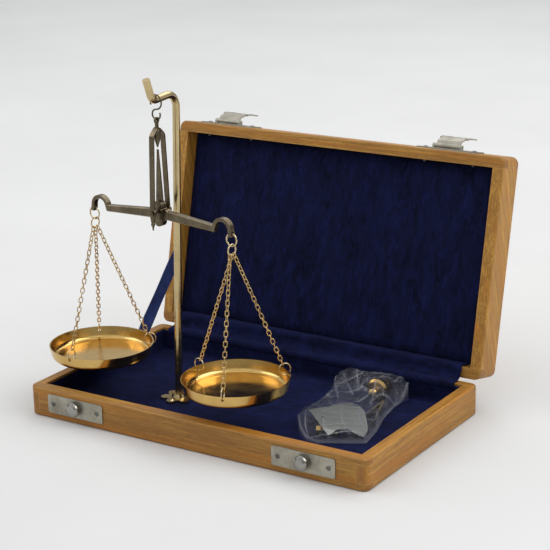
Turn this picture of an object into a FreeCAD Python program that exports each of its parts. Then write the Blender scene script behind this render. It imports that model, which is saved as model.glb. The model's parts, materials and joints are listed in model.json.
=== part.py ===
import FreeCAD, Part
import math
import os
import Sketcher

from FreeCAD import Placement, Rotation, Vector

# A jeweller's hand scale of brass, hung from a bent post that stands in its own wooden case.
# Frame: origin at the centre of the case's underside, +X to the right along the case, -Y to its
# front, +Z up. Lengths are millimetres and angles are degrees.

doc = FreeCAD.newDocument("CasedHandScale")
sheet = doc.addObject("Spreadsheet::Sheet", "Sizes")

SIZES = [
    # The case
    ("box_length", 220.0, "case, left to right"),
    ("box_depth", 126.0, "case, front to back"),
    ("base_height", 17.4, "height of the lower half"),
    ("lid_height", 20.4, "height of the lid"),
    ("wall", 6.5, "thickness of the wooden walls"),
    ("board", 3.0, "thickness of the floor board and the lid's top board"),
    ("corner_radius", 4.2, "rounding of the upright corners"),
    ("edge_radius", 1.3, "rounding of the long edges"),
    ("finger_low", 3.6, "height at which the corner fingers start"),
    ("finger_height", 10.4, "height of the corner fingers"),
    ("lining", 1.1, "velvet on the walls of the base"),
    ("floor_lining", 1.5, "velvet and card on the floor of the base"),
    ("lining_drop", 1.2, "from the rim down to the top of the base lining"),
    ("panel_depth", 9.4, "from the lid's rim to its velvet panel"),
    ("panel_velvet", 1.2, "thickness of the lid's velvet panel"),
    ("fit_gap", 0.05, "running clearance of pins and the post"),
    # Hinges of the lid
    ("lid_angle", 102.6, "how far the lid stands open"),
    ("hinge_setback", 1.0, "hinge axis behind the case's back face"),
    ("hinge_place", 66.0, "hinge centre from the middle of the case"),
    ("hinge_length", 25.0, "length of a hinge"),
    ("leaf", 0.8, "thickness of a hinge leaf and of the latch plates"),
    ("leaf_width", 5.4, "width of a leaf on the rim"),
    ("knuckle_radius", 1.3, "outside of the hinge knuckles"),
    ("knuckle_length", 8.2, "length of the lid leaf's middle knuckle"),
    ("hinge_pin_radius", 0.6, "hinge and latch pins"),
    # Latches
    ("latch_left", -77.0, "centre of the left latch"),
    ("latch_right", 72.6, "centre of the right latch"),
    ("latch_length", 38.4, "length of the catch and latch plates"),
    ("latch_width", 10.8, "height of the catch and latch plates"),
    ("catch_height", 9.3, "centre of a catch plate above the underside"),
    ("latch_axis_height", 7.6, "centre of a latch plate above the lid's rim"),
    ("nail_spread", 15.4, "latch nails from the plate's centre"),
    ("nail_radius", 0.8, "shank of the latch nails"),
    ("nail_head_radius", 1.5, "head of the latch nails"),
    ("stud_neck_radius", 2.6, "neck of the catch stud"),
    ("stud_radius", 4.3, "head of the catch stud"),
    ("stud_height", 4.2, "catch stud, out from its plate"),
    ("hasp_width", 15.0, "hasp at its hinge"),
    ("hasp_frame_width", 18.0, "hasp around its window"),
    ("hasp_length", 18.2, "hasp, from its pin to its far edge"),
    ("hasp_rise", 5.2, "hasp above its pin"),
    ("hasp_window", 9.4, "width of the hasp's window"),
    ("hasp_window_start", 8.0, "from the pin to the near edge of the window"),
    ("hasp_window_end", 16.9, "from the pin to the far edge of the window"),
    ("lug", 1.6, "width of the lugs that hold the hasp's pin"),
    ("lug_radius", 1.25, "lugs and the hasp's rolled knuckle"),
    ("nail_reach", 5.0, "length of a catch nail's shank"),
    ("nail_play", 0.2, "room beyond the end of a nail"),
    ("nail_show", 1.3, "latch nails inside the lid's front wall"),
    ("nail_head", 0.5, "thickness of a nail's head"),
    ("screw_radius", 0.8, "shank of the hinge and foot screws"),
    ("screw_hole", 0.82, "hole for such a screw"),
    ("hinge_screw_place", 7.0, "hinge screws from the hinge's middle"),
    ("hinge_screw_setback", 3.6, "hinge screws in front of the case's back face"),
    ("hasp_pin_rise", 1.5, "hasp pin above the lid's front face"),
    ("hasp_pin_place", 4.4, "hasp pin from the lid's rim"),
    # Post and its foot
    ("foot_x", -43.5, "foot of the post"),
    ("foot_y", -11.1, "foot of the post"),
    ("foot_radius", 6.8, "round middle of the foot plate"),
    ("lobe_radius", 2.9, "lobes of the foot plate"),
    ("lobe_ring", 7.4, "lobe centres from the post"),
    ("foot_thickness", 1.3, "thickness of the foot plate"),
    ("foot_screw_end", 1.0, "tip of the foot's screws above the underside"),
    ("boss_radius", 4.3, "boss around the post"),
    ("boss_height", 2.0, "boss above the foot plate"),
    ("post_radius", 2.1, "round post"),
    ("post_lean", 2.0, "lean of the post towards +X"),
    ("post_top", 183.2, "centre line of the arm at the post's top bend"),
    ("post_bend", 8.5, "radius of the top bend"),
    ("arm_seat", 3.26, "arm's bend in front of the hanging line"),
    ("arm_bend", 5.0, "radius of the bend that holds the hook"),
    ("arm_drop", 1.23, "fall of the arm from the top bend to the hook"),
    ("tip_reach", 5.0, "upturned tip, forwards of the arm's bend"),
    ("tip_rise", 12.2, "upturned tip, above the arm's bend"),
    # Head: everything that hangs from the arm
    ("hang_x", -36.6, "hanging line"),
    ("hang_y", -30.6, "hanging line"),
    ("head_turn", -5.6, "turn of the beam about the upright"),
    ("hook_wire", 0.45, "radius of the hook's wire"),
    ("hook_upper", 3.9, "upper loop of the hook"),
    ("hook_lower", 2.8, "lower loop of the hook"),
    ("strap_width", 3.0, "width of the shears' cheeks"),
    ("strap", 1.0, "thickness of the shears' cheeks"),
    ("shoulder_z", 163.0, "height of the shears' shoulders"),
    ("bow_rise", 4.4, "the shears' bow above its shoulders"),
    ("bow_bend", 1.6, "bend at the top of the bow"),
    ("shoulder_bend", 3.2, "bend at the shears' shoulders"),
    ("crotch_radius", 2.6, "root of the fixed index, between the cheeks"),
    ("eye_radius", 1.75, "eye at the top of the shears"),
    ("eye_hole", 0.8, "hole of that eye"),
    ("shoulder_spread", 4.4, "cheeks from the middle at the shoulders"),
    ("pivot_spread", 6.2, "cheeks from the middle at the pivot"),
    ("pivot_z", 120.8, "height of the beam's pivot"),
    ("pivot_radius", 0.7, "beam pivot"),
    ("index_z", 156.3, "tip of the fixed index"),
    ("finial_z", 111.4, "lowest point of the shears' front finial"),
    ("hub_radius", 3.7, "middle of the beam's hub"),
    ("hub_lobe", 2.9, "lobes of the beam's hub"),
    ("hub_lobe_ring", 4.3, "lobe centres from the hub's centre"),
    ("hub_thickness", 5.0, "hub, front to back"),
    ("hub_z", 119.8, "height of the hub's centre"),
    ("arm_thickness", 3.2, "beam arms, front to back"),
    ("arm_root", 5.4, "height of a beam arm at the hub"),
    ("arm_end", 3.7, "height of a beam arm at its end"),
    ("arm_reach", 39.0, "length of a beam arm from the pivot"),
    ("arm_fall", 2.6, "fall of the beam arm from hub to end"),
    ("tongue_z", 155.2, "tip of the beam's tongue"),
    ("tongue_root", 4.6, "width of the tongue at the hub"),
    ("neck", 1.9, "thickness of the swan neck"),
    ("end_reach", 49.9, "hanging holes from the pivot"),
    ("end_z", 115.9, "hanging ring's wire in the neck's hole"),
    ("neck_rise", 122.9, "height of the swan neck's middle line at its top"),
    ("neck_bend", 5.0, "bend radius of the swan necks"),
    ("neck_hole", 0.95, "hanging hole"),
    ("neck_play", 0.2, "gap below the ring's wire in that hole"),
    ("ring_wire", 0.42, "radius of the rings' wire"),
    ("upper_ring", 3.4, "ring in the swan neck"),
    ("lower_ring", 3.1, "ring that gathers the chains"),
    ("contact_gap", 0.06, "gap left where two wires bear on each other"),
    ("link_wire", 0.27, "radius of the chain's wire"),
    ("link_bend", 0.98, "bend radius of a chain link"),
    ("link_count", 26.0, "links in one chain"),
    # Pans
    ("pan_radius", 29.9, "pan at its rim"),
    ("pan_flare", 1.6, "how much narrower the pan's floor is"),
    ("pan_height", 7.6, "outside height of a pan"),
    ("pan_sheet", 0.7, "thickness of a pan"),
    ("pan_bend", 3.4, "outside radius between a pan's wall and floor"),
    ("rim_z", 35.4, "height of the pans' rims"),
    ("rim_hole_drop", 2.1, "holes below the rim"),
    ("rim_hole", 0.8, "radius of the holes in a pan's wall"),
    ("pan_ring", 3.3, "ring in a pan's wall"),
    ("pan_ring_wire", 0.35, "radius of that ring's wire"),
    ("pan_ring_play", 0.2, "gap above the ring's wire in the pan's hole"),
    # Loose weights
    ("pouch_x", 60.0, "middle of the weight pouch"),
    ("pouch_y", 10.0, "middle of the weight pouch"),
    ("pouch_front", 12.0, "top of the pouch over the small weights"),
    ("pouch_height", 19.2, "top of the pouch over the large weight"),
    ("pouch_back", 20.5, "top of the pouch at the back"),
    ("pouch_film", 0.6, "solid thickness that stands for the pouch's film"),
    ("pouch_turn", 12.0, "turn of the pouch on the floor"),
    ("knob_radius", 6.4, "large weight"),
    ("ribbon_width", 8.3, "lid ribbon"),
    ("ribbon", 0.6, "thickness of the lid ribbon"),
]

for row, (alias, amount, meaning) in enumerate(SIZES, start=1):
    sheet.set("A%d" % row, meaning)
    sheet.set("B%d" % row, str(amount))
    sheet.setAlias("B%d" % row, alias)
doc.recompute()

subparts = []


def text(expression):
    """An expression in which #word stands for a cell of the sheet."""
    return expression.replace("#", "Sizes.")


def value(expression):
    """The number that such an expression gives."""
    return float(sheet.evalExpression(text(expression)))


def bind(item, **expressions):
    for name, expression in expressions.items():
        item.setExpression(name, text(expression))
    return item


def place(item, x="0", y="0", z="0"):
    for axis, expression in (("x", x), ("y", y), ("z", z)):
        item.setExpression("Placement.Base." + axis, text(expression))
    return item


def turn(item, axis, angle):
    item.Placement = Placement(Vector(0, 0, 0), Rotation(Vector(*axis), angle))
    return item


def in_lid(item):
    """Puts a piece drawn about the hinge axis, lid closed, where the open lid holds it."""
    turn(item, (1, 0, 0), -value("#lid_angle"))
    return place(item, "0", "#box_depth / 2 + #hinge_setback", "#base_height")


def subpart(item, label):
    item.Label = label
    subparts.append(item)
    return item


def block(x, y, z, length, width, height):
    item = doc.addObject("Part::Box", "Block")
    bind(item, Length=length, Width=width, Height=height)
    return place(item, x, y, z)


def rod(x, y, z, radius, length, axis=(0, 0, 1)):
    """A cylinder that starts at a point and runs along an axis."""
    item = doc.addObject("Part::Cylinder", "Rod")
    bind(item, Radius=radius, Height=length)
    item.Placement = Placement(Vector(0, 0, 0), Rotation(Vector(0, 0, 1), Vector(*axis)))
    return place(item, x, y, z)


def cone(x, y, z, low_radius, high_radius, length, axis=(0, 0, 1)):
    item = doc.addObject("Part::Cone", "Cone")
    bind(item, Radius1=low_radius, Radius2=high_radius, Height=length)
    item.Placement = Placement(Vector(0, 0, 0), Rotation(Vector(0, 0, 1), Vector(*axis)))
    return place(item, x, y, z)


def fuse(*items):
    item = doc.addObject("Part::MultiFuse", "Joined")
    item.Shapes = list(items)
    return item


def cut(base, *tools):
    item = doc.addObject("Part::Cut", "Pierced")
    item.Base = base
    item.Tool = tools[0] if len(tools) == 1 else fuse(*tools)
    return item


def common(base, tool):
    item = doc.addObject("Part::Common", "Trimmed")
    item.Base = base
    item.Tool = tool
    return item


def group(*items):
    item = doc.addObject("Part::Compound", "Group")
    item.Links = list(items)
    return item


def rounded(base, choose):
    """Rounds the edges for which choose(edge) gives a radius."""
    doc.recompute()
    item = doc.addObject("Part::Fillet", "Rounded")
    item.Base = base
    radii = [(index, choose(edge)) for index, edge in enumerate(base.Shape.Edges, start=1)]
    item.Edges = [(index, radius, radius) for index, radius in radii if radius]
    return item


def shaped(shape):
    """A free shape that no primitive or sketch gives."""
    item = doc.addObject("Part::Feature", "Shaped")
    item.Shape = shape
    return item


def runs_along(edge, axis):
    return edge.Curve.TypeId == "Part::GeomLine" and abs(edge.Curve.Direction.dot(axis)) > 0.999


def outline(body, plane, corners):
    """A closed sketch of straight lines; each corner is a pair of expressions."""
    sketch = body.newObject("Sketcher::SketchObject", "Outline")
    origin_planes = [item for item in body.Origin.OriginFeatures if item.Role == plane]
    sketch.AttachmentSupport = [(origin_planes[0], "")]
    sketch.MapMode = "FlatFace"
    points = [Vector(value(across), value(up), 0) for across, up in corners]
    count = len(points)
    for index, point in enumerate(points):
        sketch.addGeometry(Part.LineSegment(point, points[(index + 1) % count]), False)
    for index in range(count):
        sketch.addConstraint(Sketcher.Constraint("Coincident", index, 2, (index + 1) % count, 1))
    for index, corner in enumerate(corners):
        for kind, axis, amount, expression in (
            ("DistanceX", -2, points[index].x, corner[0]),
            ("DistanceY", -1, points[index].y, corner[1]),
        ):
            if abs(amount) < 1e-9:
                sketch.addConstraint(Sketcher.Constraint("PointOnObject", index, 1, axis))
                continue
            number = sketch.addConstraint(Sketcher.Constraint(kind, -1, 1, index, 1, amount))
            sketch.setExpression("Constraints[%d]" % number, text(expression))
    return sketch


def revolved(corners):
    """A turned piece: corners are (radius, height) pairs about Z."""
    body = doc.addObject("PartDesign::Body", "Turned")
    sketch = outline(body, "XZ_Plane", corners)
    feature = body.newObject("PartDesign::Revolution", "Revolution")
    feature.Profile = sketch
    feature.ReferenceAxis = (sketch, ["V_Axis"])
    feature.Angle = 360.0
    return body


def bent_path(points, radii):
    """Straight runs through points, with an arc of the given radius at each inner point."""
    edges = []
    start = points[0]
    for index, radius in enumerate(radii, start=1):
        corner = points[index]
        back = (points[index - 1] - corner).normalize()
        ahead = (points[index + 1] - corner).normalize()
        half_turn = (math.pi - back.getAngle(ahead)) / 2
        reach = radius * math.tan(half_turn)
        bisector = (back + ahead).normalize()
        middle = corner + bisector * (radius / math.cos(half_turn) - radius)
        enter = corner + back * reach
        leave = corner + ahead * reach
        if (enter - start).Length > 1e-6:
            edges.append(Part.LineSegment(start, enter).toShape())
        edges.append(Part.Arc(enter, middle, leave).toShape())
        start = leave
    if (points[-1] - start).Length > 1e-6:
        edges.append(Part.LineSegment(start, points[-1]).toShape())
    return Part.Wire(edges)


def round_wire(path, radius):
    """A round bar along a path."""
    first = path.Edges[0]
    tangent = first.tangentAt(first.FirstParameter)
    section = Part.Wire([Part.Circle(first.Vertexes[0].Point, tangent, radius).toShape()])
    return path.makePipeShell([section], True, False)


def flat_strip(path, thickness, width, across):
    """A flat strip along a plane path: across is the path's plane normal."""
    first = path.Edges[0]
    tangent = first.tangentAt(first.FirstParameter).normalize()
    side = Vector(*across)
    out = side.cross(tangent).normalize()
    centre = first.Vertexes[0].Point
    corners = [
        centre + side * (width / 2 * a) + out * (thickness / 2 * b)
        for a, b in ((-1, -1), (1, -1), (1, 1), (-1, 1))
    ]
    section = Part.makePolygon(corners + corners[:1])
    return path.makePipeShell([section], True, True)


# ---------------------------------------------------------------- wooden case

def wooden_block(height, x, y, z):
    """The outside of one half of the case, with rounded corners and edges."""
    raw = block(x, y, z, "#box_length", "#box_depth", height)
    upright = Vector(0, 0, 1)

    def radius(edge):
        return value("#corner_radius") if runs_along(edge, upright) else value("#edge_radius")

    return rounded(raw, radius)


def case_walls(half, height, y_back, z_rim, finger_low, pockets):
    """Four walls with a finger joint at each corner; pockets are cut from the named walls."""
    left = "-#box_length / 2"
    front = "%s - #box_depth" % y_back
    outside = wooden_block(height, left, front, z_rim)

    def fingers(y):
        return [
            block(x, y, finger_low, "#wall", "#wall", "#finger_height")
            for x in (left, "#box_length / 2 - #wall")
        ]

    walls = []
    for side, y in (("front", front), ("back", "%s - #wall" % y_back)):
        long_wall = block(left, y, z_rim, "#box_length", "#wall", height)
        wall = common(outside, cut(long_wall, *fingers(y), *pockets[side]))
        walls.append(subpart(wall, "%s_%s_wall" % (half, side)))
    front_fingers = fingers(front)
    back_fingers = fingers("%s - #wall" % y_back)
    for index, (side, x) in enumerate((("left", left), ("right", "#box_length / 2 - #wall"))):
        short_wall = block(x, front + " + #wall", z_rim, "#wall", "#box_depth - 2 * #wall", height)
        wall = common(outside, fuse(short_wall, front_fingers[index], back_fingers[index]))
        walls.append(subpart(wall, "%s_%s_wall" % (half, side)))
    return walls


def hinge_recess(centre, y_face, z_rim, y_axis, up):
    """The pocket for one hinge: a shallow bed for the leaf and a groove for the knuckles."""
    start = "%s - #hinge_length / 2 - 0.1" % centre
    bed_z = "%s - #leaf" % z_rim if up else z_rim
    bed = block(start, "%s - #leaf_width - 0.1" % y_face, bed_z, "#hinge_length + 0.2",
                "#leaf_width + 0.1", "#leaf")
    groove = rod(start, y_axis, z_rim, "#knuckle_radius + 0.2", "#hinge_length + 0.2", (1, 0, 0))
    return fuse(bed, groove)


def nail_holes(points, y, length):
    return [rod(x, y, z, "#nail_radius + 0.02", length, (0, 1, 0)) for x, z in points]


HINGE_CENTRES = (("left", "-#hinge_place"), ("right", "#hinge_place"))
LATCH_CENTRES = (("left", "#latch_left"), ("right", "#latch_right"))
LID_BACK = "-#hinge_setback"
LID_FRONT = "-#hinge_setback - #box_depth"


def nail_points(height):
    return [
        ("%s %s #nail_spread" % (centre, sign), height)
        for _, centre in LATCH_CENTRES
        for sign in "-+"
    ]


catch_points = nail_points("#catch_height")
latch_points = nail_points("#latch_axis_height")

base_pockets = {
    "front": nail_holes(catch_points, "-#box_depth / 2 - #leaf", "#nail_reach + #nail_play"),
    "back": [
        hinge_recess(centre, "#box_depth / 2", "#base_height", "#box_depth / 2 + #hinge_setback",
                     True)
        for _, centre in HINGE_CENTRES
    ],
}
case_walls("base", "#base_height", "#box_depth / 2", "0", "#finger_low", base_pockets)

lid_pockets = {
    "front": nail_holes(latch_points, LID_FRONT + " - #leaf", "#leaf + #wall + #nail_show"),
    "back": [hinge_recess(centre, LID_BACK, "0", "0", False) for _, centre in HINGE_CENTRES],
}
lid_walls = case_walls("lid", "#lid_height", LID_BACK, "0",
                       "#lid_height - #finger_low - #finger_height", lid_pockets)
for lid_wall in lid_walls:
    in_lid(lid_wall)

FLOOR_TOP = "#board + #floor_lining"
foot_screw_points = [
    (
        "#foot_x + #lobe_ring * %.6f" % math.cos(math.radians(angle)),
        "#foot_y + #lobe_ring * %.6f" % math.sin(math.radians(angle)),
    )
    for angle in (30, 150, 270)
]


def foot_screw_holes():
    return [rod(x, y, "#foot_screw_end - #nail_play", "#screw_hole", "6") for x, y in foot_screw_points]


floor_board = block("-#box_length / 2 + #wall", "-#box_depth / 2 + #wall", "0",
                    "#box_length - 2 * #wall", "#box_depth - 2 * #wall", "#board")
subpart(cut(floor_board, *foot_screw_holes()), "base_floor_board")

lining_outside = block("-#box_length / 2 + #wall", "-#box_depth / 2 + #wall", "#board",
                       "#box_length - 2 * #wall", "#box_depth - 2 * #wall",
                       "#base_height - #board - #lining_drop")
lining_inside = block("-#box_length / 2 + #wall + #lining", "-#box_depth / 2 + #wall + #lining",
                      FLOOR_TOP, "#box_length - 2 * #wall - 2 * #lining",
                      "#box_depth - 2 * #wall - 2 * #lining", "#base_height")
subpart(cut(lining_outside, lining_inside, *foot_screw_holes()), "base_velvet_lining")


def lid_layer(label, z, thickness):
    layer = block("-#box_length / 2 + #wall", LID_FRONT + " + #wall", z,
                  "#box_length - 2 * #wall", "#box_depth - 2 * #wall", thickness)
    return subpart(in_lid(group(layer)), label)


lid_layer("lid_top_board", "#lid_height - #board", "#board")
lid_layer("lid_padding", "#panel_depth + #panel_velvet",
          "#lid_height - #board - #panel_depth - #panel_velvet")
lid_layer("lid_velvet_panel", "#panel_depth", "#panel_velvet")


# ---------------------------------------------------------------- hinges and ribbon

def knuckle(start, length):
    return rod(start, "0", "0", "#knuckle_radius", length, (1, 0, 0))


def leaf(side, centre, half):
    """One hinge leaf about the hinge axis, drawn with the lid closed."""
    start = "%s - #hinge_length / 2" % centre
    z = "-#leaf" if half == "base" else "0"
    flat = block(start, "-#hinge_setback - #leaf_width", z, "#hinge_length",
                 "#hinge_setback + #leaf_width", "#leaf")
    middle_start = "%s - #knuckle_length / 2 - 0.05" % centre
    middle_length = "#knuckle_length + 0.1"
    if half == "base":
        barrel = cut(knuckle(start, "#hinge_length"), rod(middle_start, "0", "0",
                     "#knuckle_radius + 0.5", middle_length, (1, 0, 0)))
        clear = rod(middle_start, "0", "0", "#knuckle_radius + 0.15", middle_length, (1, 0, 0))
    else:
        barrel = knuckle("%s - #knuckle_length / 2" % centre, "#knuckle_length")
        outer_length = "(#hinge_length - #knuckle_length) / 2 + 0.05"
        clear = fuse(
            rod("%s - #hinge_length / 2" % centre, "0", "0", "#knuckle_radius + 0.15",
                outer_length, (1, 0, 0)),
            rod("%s + #knuckle_length / 2" % centre, "0", "0", "#knuckle_radius + 0.15",
                outer_length, (1, 0, 0)),
        )
    bore = rod("%s - #hinge_length" % centre, "0", "0", "#hinge_pin_radius + #fit_gap",
               "2 * #hinge_length", (1, 0, 0))
    screws = [
        rod("%s %s #hinge_screw_place" % (centre, sign), "-#hinge_setback - #hinge_screw_setback", "-2",
            "#screw_hole", "4")
        for sign in "-+"
    ]
    return cut(fuse(cut(flat, clear), barrel), bore, *screws)


def hinge_screws(half):
    """Screws that hold the leaves of one half of the case, flush with them."""
    screws = []
    for _, centre in HINGE_CENTRES:
        for sign in "-+":
            x = "%s %s #hinge_screw_place" % (centre, sign)
            z = "-#leaf" if half == "base" else "0"
            screws.append(rod(x, "-#hinge_setback - #hinge_screw_setback", z, "#screw_radius", "#leaf"))
    return group(*screws)


def on_base_hinge(item):
    return place(item, "0", "#box_depth / 2 + #hinge_setback", "#base_height")


for side, centre in HINGE_CENTRES:
    subpart(on_base_hinge(leaf(side, centre, "base")), "%s_hinge_base_leaf" % side)
    subpart(in_lid(leaf(side, centre, "lid")), "%s_hinge_lid_leaf" % side)
    pin = rod("%s - #hinge_length / 2" % centre, "#box_depth / 2 + #hinge_setback",
              "#base_height", "#hinge_pin_radius", "#hinge_length", (1, 0, 0))
    subpart(pin, "%s_hinge_pin" % side)
subpart(on_base_hinge(hinge_screws("base")), "hinge_base_screws")
subpart(in_lid(hinge_screws("lid")), "hinge_lid_screws")

# The velvet that bridges the hinge line passes in front of the knuckles and lies on both rims.
bridge_profile = [
    (55.6, 17.45), (62.2, 17.45), (62.45, 18.2), (63.3, 18.95), (64.3, 19.35), (65.5, 24.6),
    (64.9, 24.75), (63.75, 19.75), (62.9, 19.4), (61.95, 18.5), (61.8, 18.0), (55.6, 18.0),
]
bridge_reach = value("#box_length / 2 - #wall - 8")
bridge_corners = [Vector(-bridge_reach, y, z) for y, z in bridge_profile]
bridge_face = Part.Face(Part.makePolygon(bridge_corners + bridge_corners[:1]))
subpart(shaped(bridge_face.extrude(Vector(2 * bridge_reach, 0, 0))), "hinge_velvet")

# The satin ribbon that stops the lid, pulled straight from the base's left wall to the lid's. Its
# middle line runs between two (y, z) points beside the left lining.
RIBBON_LOW = (27.7, 15.5)
RIBBON_HIGH = (72.4, 62.6)
ribbon_x = value("-#box_length / 2 + #wall + #lining + 0.3")
ribbon_run = Vector(0, RIBBON_HIGH[0] - RIBBON_LOW[0], RIBBON_HIGH[1] - RIBBON_LOW[1])
ribbon_slope = math.atan2(ribbon_run.y, ribbon_run.z)
ribbon_across = Vector(0, math.cos(ribbon_slope), -math.sin(ribbon_slope))
ribbon_corner = Vector(ribbon_x, *RIBBON_LOW) - ribbon_across * value("#ribbon_width / 2")
ribbon_strip = block("0", "0", "0", "#ribbon", "#ribbon_width", "%.3f" % ribbon_run.Length)
turn(ribbon_strip, (1, 0, 0), -math.degrees(ribbon_slope))
place(ribbon_strip, *("%.3f" % amount for amount in ribbon_corner))
subpart(ribbon_strip, "lid_ribbon")


# ---------------------------------------------------------------- latches

def face_plate(centre, y_face, height):
    """A thin plate on a front face, nailed through both ends."""
    flat = block("%s - #latch_length / 2" % centre, "%s - #leaf" % y_face,
                 "%s - #latch_width / 2" % height, "#latch_length", "#leaf", "#latch_width")
    across = Vector(0, 1, 0)
    soft = rounded(flat, lambda edge: 1.2 if runs_along(edge, across) else 0)
    ends = [
        rod("%s %s #nail_spread" % (centre, sign), "%s - 2" % y_face, height,
            "#nail_radius + 0.02", "4", (0, 1, 0))
        for sign in "-+"
    ]
    return cut(soft, *ends)


def nails(points, y_face, reach):
    made = []
    for x, z in points:
        shank = rod(x, "%s - #leaf" % y_face, z, "#nail_radius", reach, (0, 1, 0))
        head = cone(x, "%s - #leaf - #nail_head" % y_face, z, "#nail_head_radius * 0.6",
                    "#nail_head_radius", "#nail_head", (0, 1, 0))
        made.append(fuse(shank, head))
    return group(*made)


def catch_stud():
    """A domed button on a neck, turned about Z."""
    return revolved([
        ("0", "0"),
        ("#stud_neck_radius", "0"),
        ("#stud_neck_radius", "#stud_height * 0.4"),
        ("#stud_radius", "#stud_height * 0.55"),
        ("#stud_radius * 0.93", "#stud_height * 0.75"),
        ("#stud_radius * 0.6", "#stud_height * 0.94"),
        ("#stud_radius * 0.25", "#stud_height"),
        ("0", "#stud_height"),
    ])


def hasp():
    """A sheet hasp about its pin: a rolled knuckle, a raised plate and a frame around a window.

    It is drawn lying back along +Y, with +Z out of the lid's front face.
    """
    wide = value("#hasp_frame_width")
    slim = value("#hasp_width")
    rise = value("#hasp_rise")
    start = value("#hasp_window_start")
    window_width = value("#hasp_window")
    lug_radius = value("#lug_radius")
    path = bent_path(
        [Vector(0, 0.5, 0.9), Vector(0, 2.0, 2.9), Vector(0, start + 1, rise),
         Vector(0, value("#hasp_length"), rise - 0.4)],
        [1.2, 6.0],
    )
    full = flat_strip(path, value("#leaf"), wide, (1, 0, 0))
    shoulder = (wide - slim) / 2
    sides = [
        Part.makeBox(shoulder, start + 3, 20, Vector(x, -4, -5)) for x in (-wide / 2, slim / 2)
    ]
    window = Part.makeBox(window_width, value("#hasp_window_end") - start, 20,
                          Vector(-window_width / 2, start, -5))
    barrel = Part.makeCylinder(lug_radius, slim, Vector(-slim / 2, 0, 0), Vector(1, 0, 0))
    bore_radius = value("#hinge_pin_radius + #fit_gap")
    bore = Part.makeCylinder(bore_radius, wide, Vector(-wide / 2, 0, 0), Vector(1, 0, 0))
    return full.cut(sides + [window]).fuse(barrel).cut(bore).removeSplitter()


def latch_body(centre):
    """The latch plate on the lid with the two lugs that hold the hasp's pin."""
    pin_y = LID_FRONT + " - #leaf - #hasp_pin_rise"
    lugs = []
    for gap in ("+ #hasp_width / 2 + 0.1", "- #hasp_width / 2 - 0.1 - #lug"):
        x = "%s %s" % (centre, gap)
        lugs.append(rod(x, pin_y, "#hasp_pin_place", "#lug_radius", "#lug", (1, 0, 0)))
        lugs.append(block(x, pin_y, "#hasp_pin_place - #lug_radius", "#lug", "#hasp_pin_rise + 0.1",
                          "2 * #lug_radius"))
    return fuse(face_plate(centre, LID_FRONT, "#latch_axis_height"), *lugs)


def latch_pin(centre):
    return rod("%s - #hasp_width / 2 - 0.1 - #lug" % centre, LID_FRONT + " - #leaf - #hasp_pin_rise",
               "#hasp_pin_place", "#hinge_pin_radius", "#hasp_width + 0.2 + 2 * #lug", (1, 0, 0))


lid_frame = Placement(
    Vector(0, value("#box_depth / 2 + #hinge_setback"), value("#base_height")),
    Rotation(Vector(1, 0, 0), -value("#lid_angle")),
)
for side, centre in LATCH_CENTRES:
    catch = face_plate(centre, "-#box_depth / 2", "#catch_height")
    subpart(catch, "%s_catch_plate" % side)
    stud = turn(catch_stud(), (1, 0, 0), 90)
    subpart(place(stud, centre, "-#box_depth / 2 - #leaf", "#catch_height"), "%s_catch_stud" % side)
    subpart(in_lid(cut(latch_body(centre), latch_pin(centre))), "%s_latch_plate" % side)
    subpart(in_lid(group(latch_pin(centre))), "%s_latch_pin" % side)
    sheet_hasp = shaped(hasp())
    hasp_seat = Vector(value(centre), value(LID_FRONT + " - #leaf - #hasp_pin_rise"),
                       value("#hasp_pin_place"))
    sheet_hasp.Placement = lid_frame.multiply(Placement(hasp_seat, Rotation(Vector(1, 0, 0), 90)))
    subpart(sheet_hasp, "%s_hasp" % side)

subpart(nails(catch_points, "-#box_depth / 2", "#nail_reach"), "catch_nails")
subpart(in_lid(nails(latch_points, LID_FRONT, "#leaf + #wall + #nail_show")), "latch_nails")


# ---------------------------------------------------------------- post and foot

lobes = [
    rod("#foot_x + #lobe_ring * %.6f" % math.cos(math.radians(angle)),
        "#foot_y + #lobe_ring * %.6f" % math.sin(math.radians(angle)),
        FLOOR_TOP, "#lobe_radius", "#foot_thickness")
    for angle in range(30, 390, 60)
]
foot_disc = rod("#foot_x", "#foot_y", FLOOR_TOP, "#foot_radius", "#foot_thickness")
boss = cone("#foot_x", "#foot_y", FLOOR_TOP + " + #foot_thickness", "#boss_radius",
            "#boss_radius * 0.8", "#boss_height")
lean = math.radians(value("#post_lean"))
POST_AXIS = (math.sin(lean), 0, math.cos(lean))
post_bore = rod("#foot_x + 0.02", "#foot_y", FLOOR_TOP + " + 0.6", "#post_radius + #fit_gap", "20",
                POST_AXIS)
subpart(cut(fuse(foot_disc, boss, *lobes), post_bore, *foot_screw_holes()), "foot_plate")

foot_screws = []
for x, y in foot_screw_points:
    shank = rod(x, y, "#foot_screw_end", "#screw_radius", FLOOR_TOP + " + #foot_thickness - #foot_screw_end")
    head = cone(x, y, FLOOR_TOP + " + #foot_thickness", "1.7", "1.1", "0.7")
    foot_screws.append(fuse(shank, head))
subpart(group(*foot_screws), "foot_screws")

post_base = Vector(value("#foot_x + 0.02"), value("#foot_y"), value(FLOOR_TOP + " + 0.65"))
post_height = value("#post_top") - post_base.z
post_corner = post_base + Vector(post_height * math.tan(lean), 0, post_height)
arm_corner = Vector(value("#hang_x"), value("#hang_y - #arm_seat"),
                    post_corner.z - value("#arm_drop"))
arm_tip = arm_corner + Vector(0.4, -value("#tip_reach"), value("#tip_rise"))
post_path = bent_path([post_base, post_corner, arm_corner, arm_tip],
                      [value("#post_bend"), value("#arm_bend")])
subpart(shaped(round_wire(post_path, value("#post_radius"))), "post")
valley = min(
    (edge.valueAt(edge.FirstParameter + (edge.LastParameter - edge.FirstParameter) * step / 400)
     for edge in post_path.Edges[3:4] for step in range(401)),
    key=lambda point: point.z,
)


# ---------------------------------------------------------------- head

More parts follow.
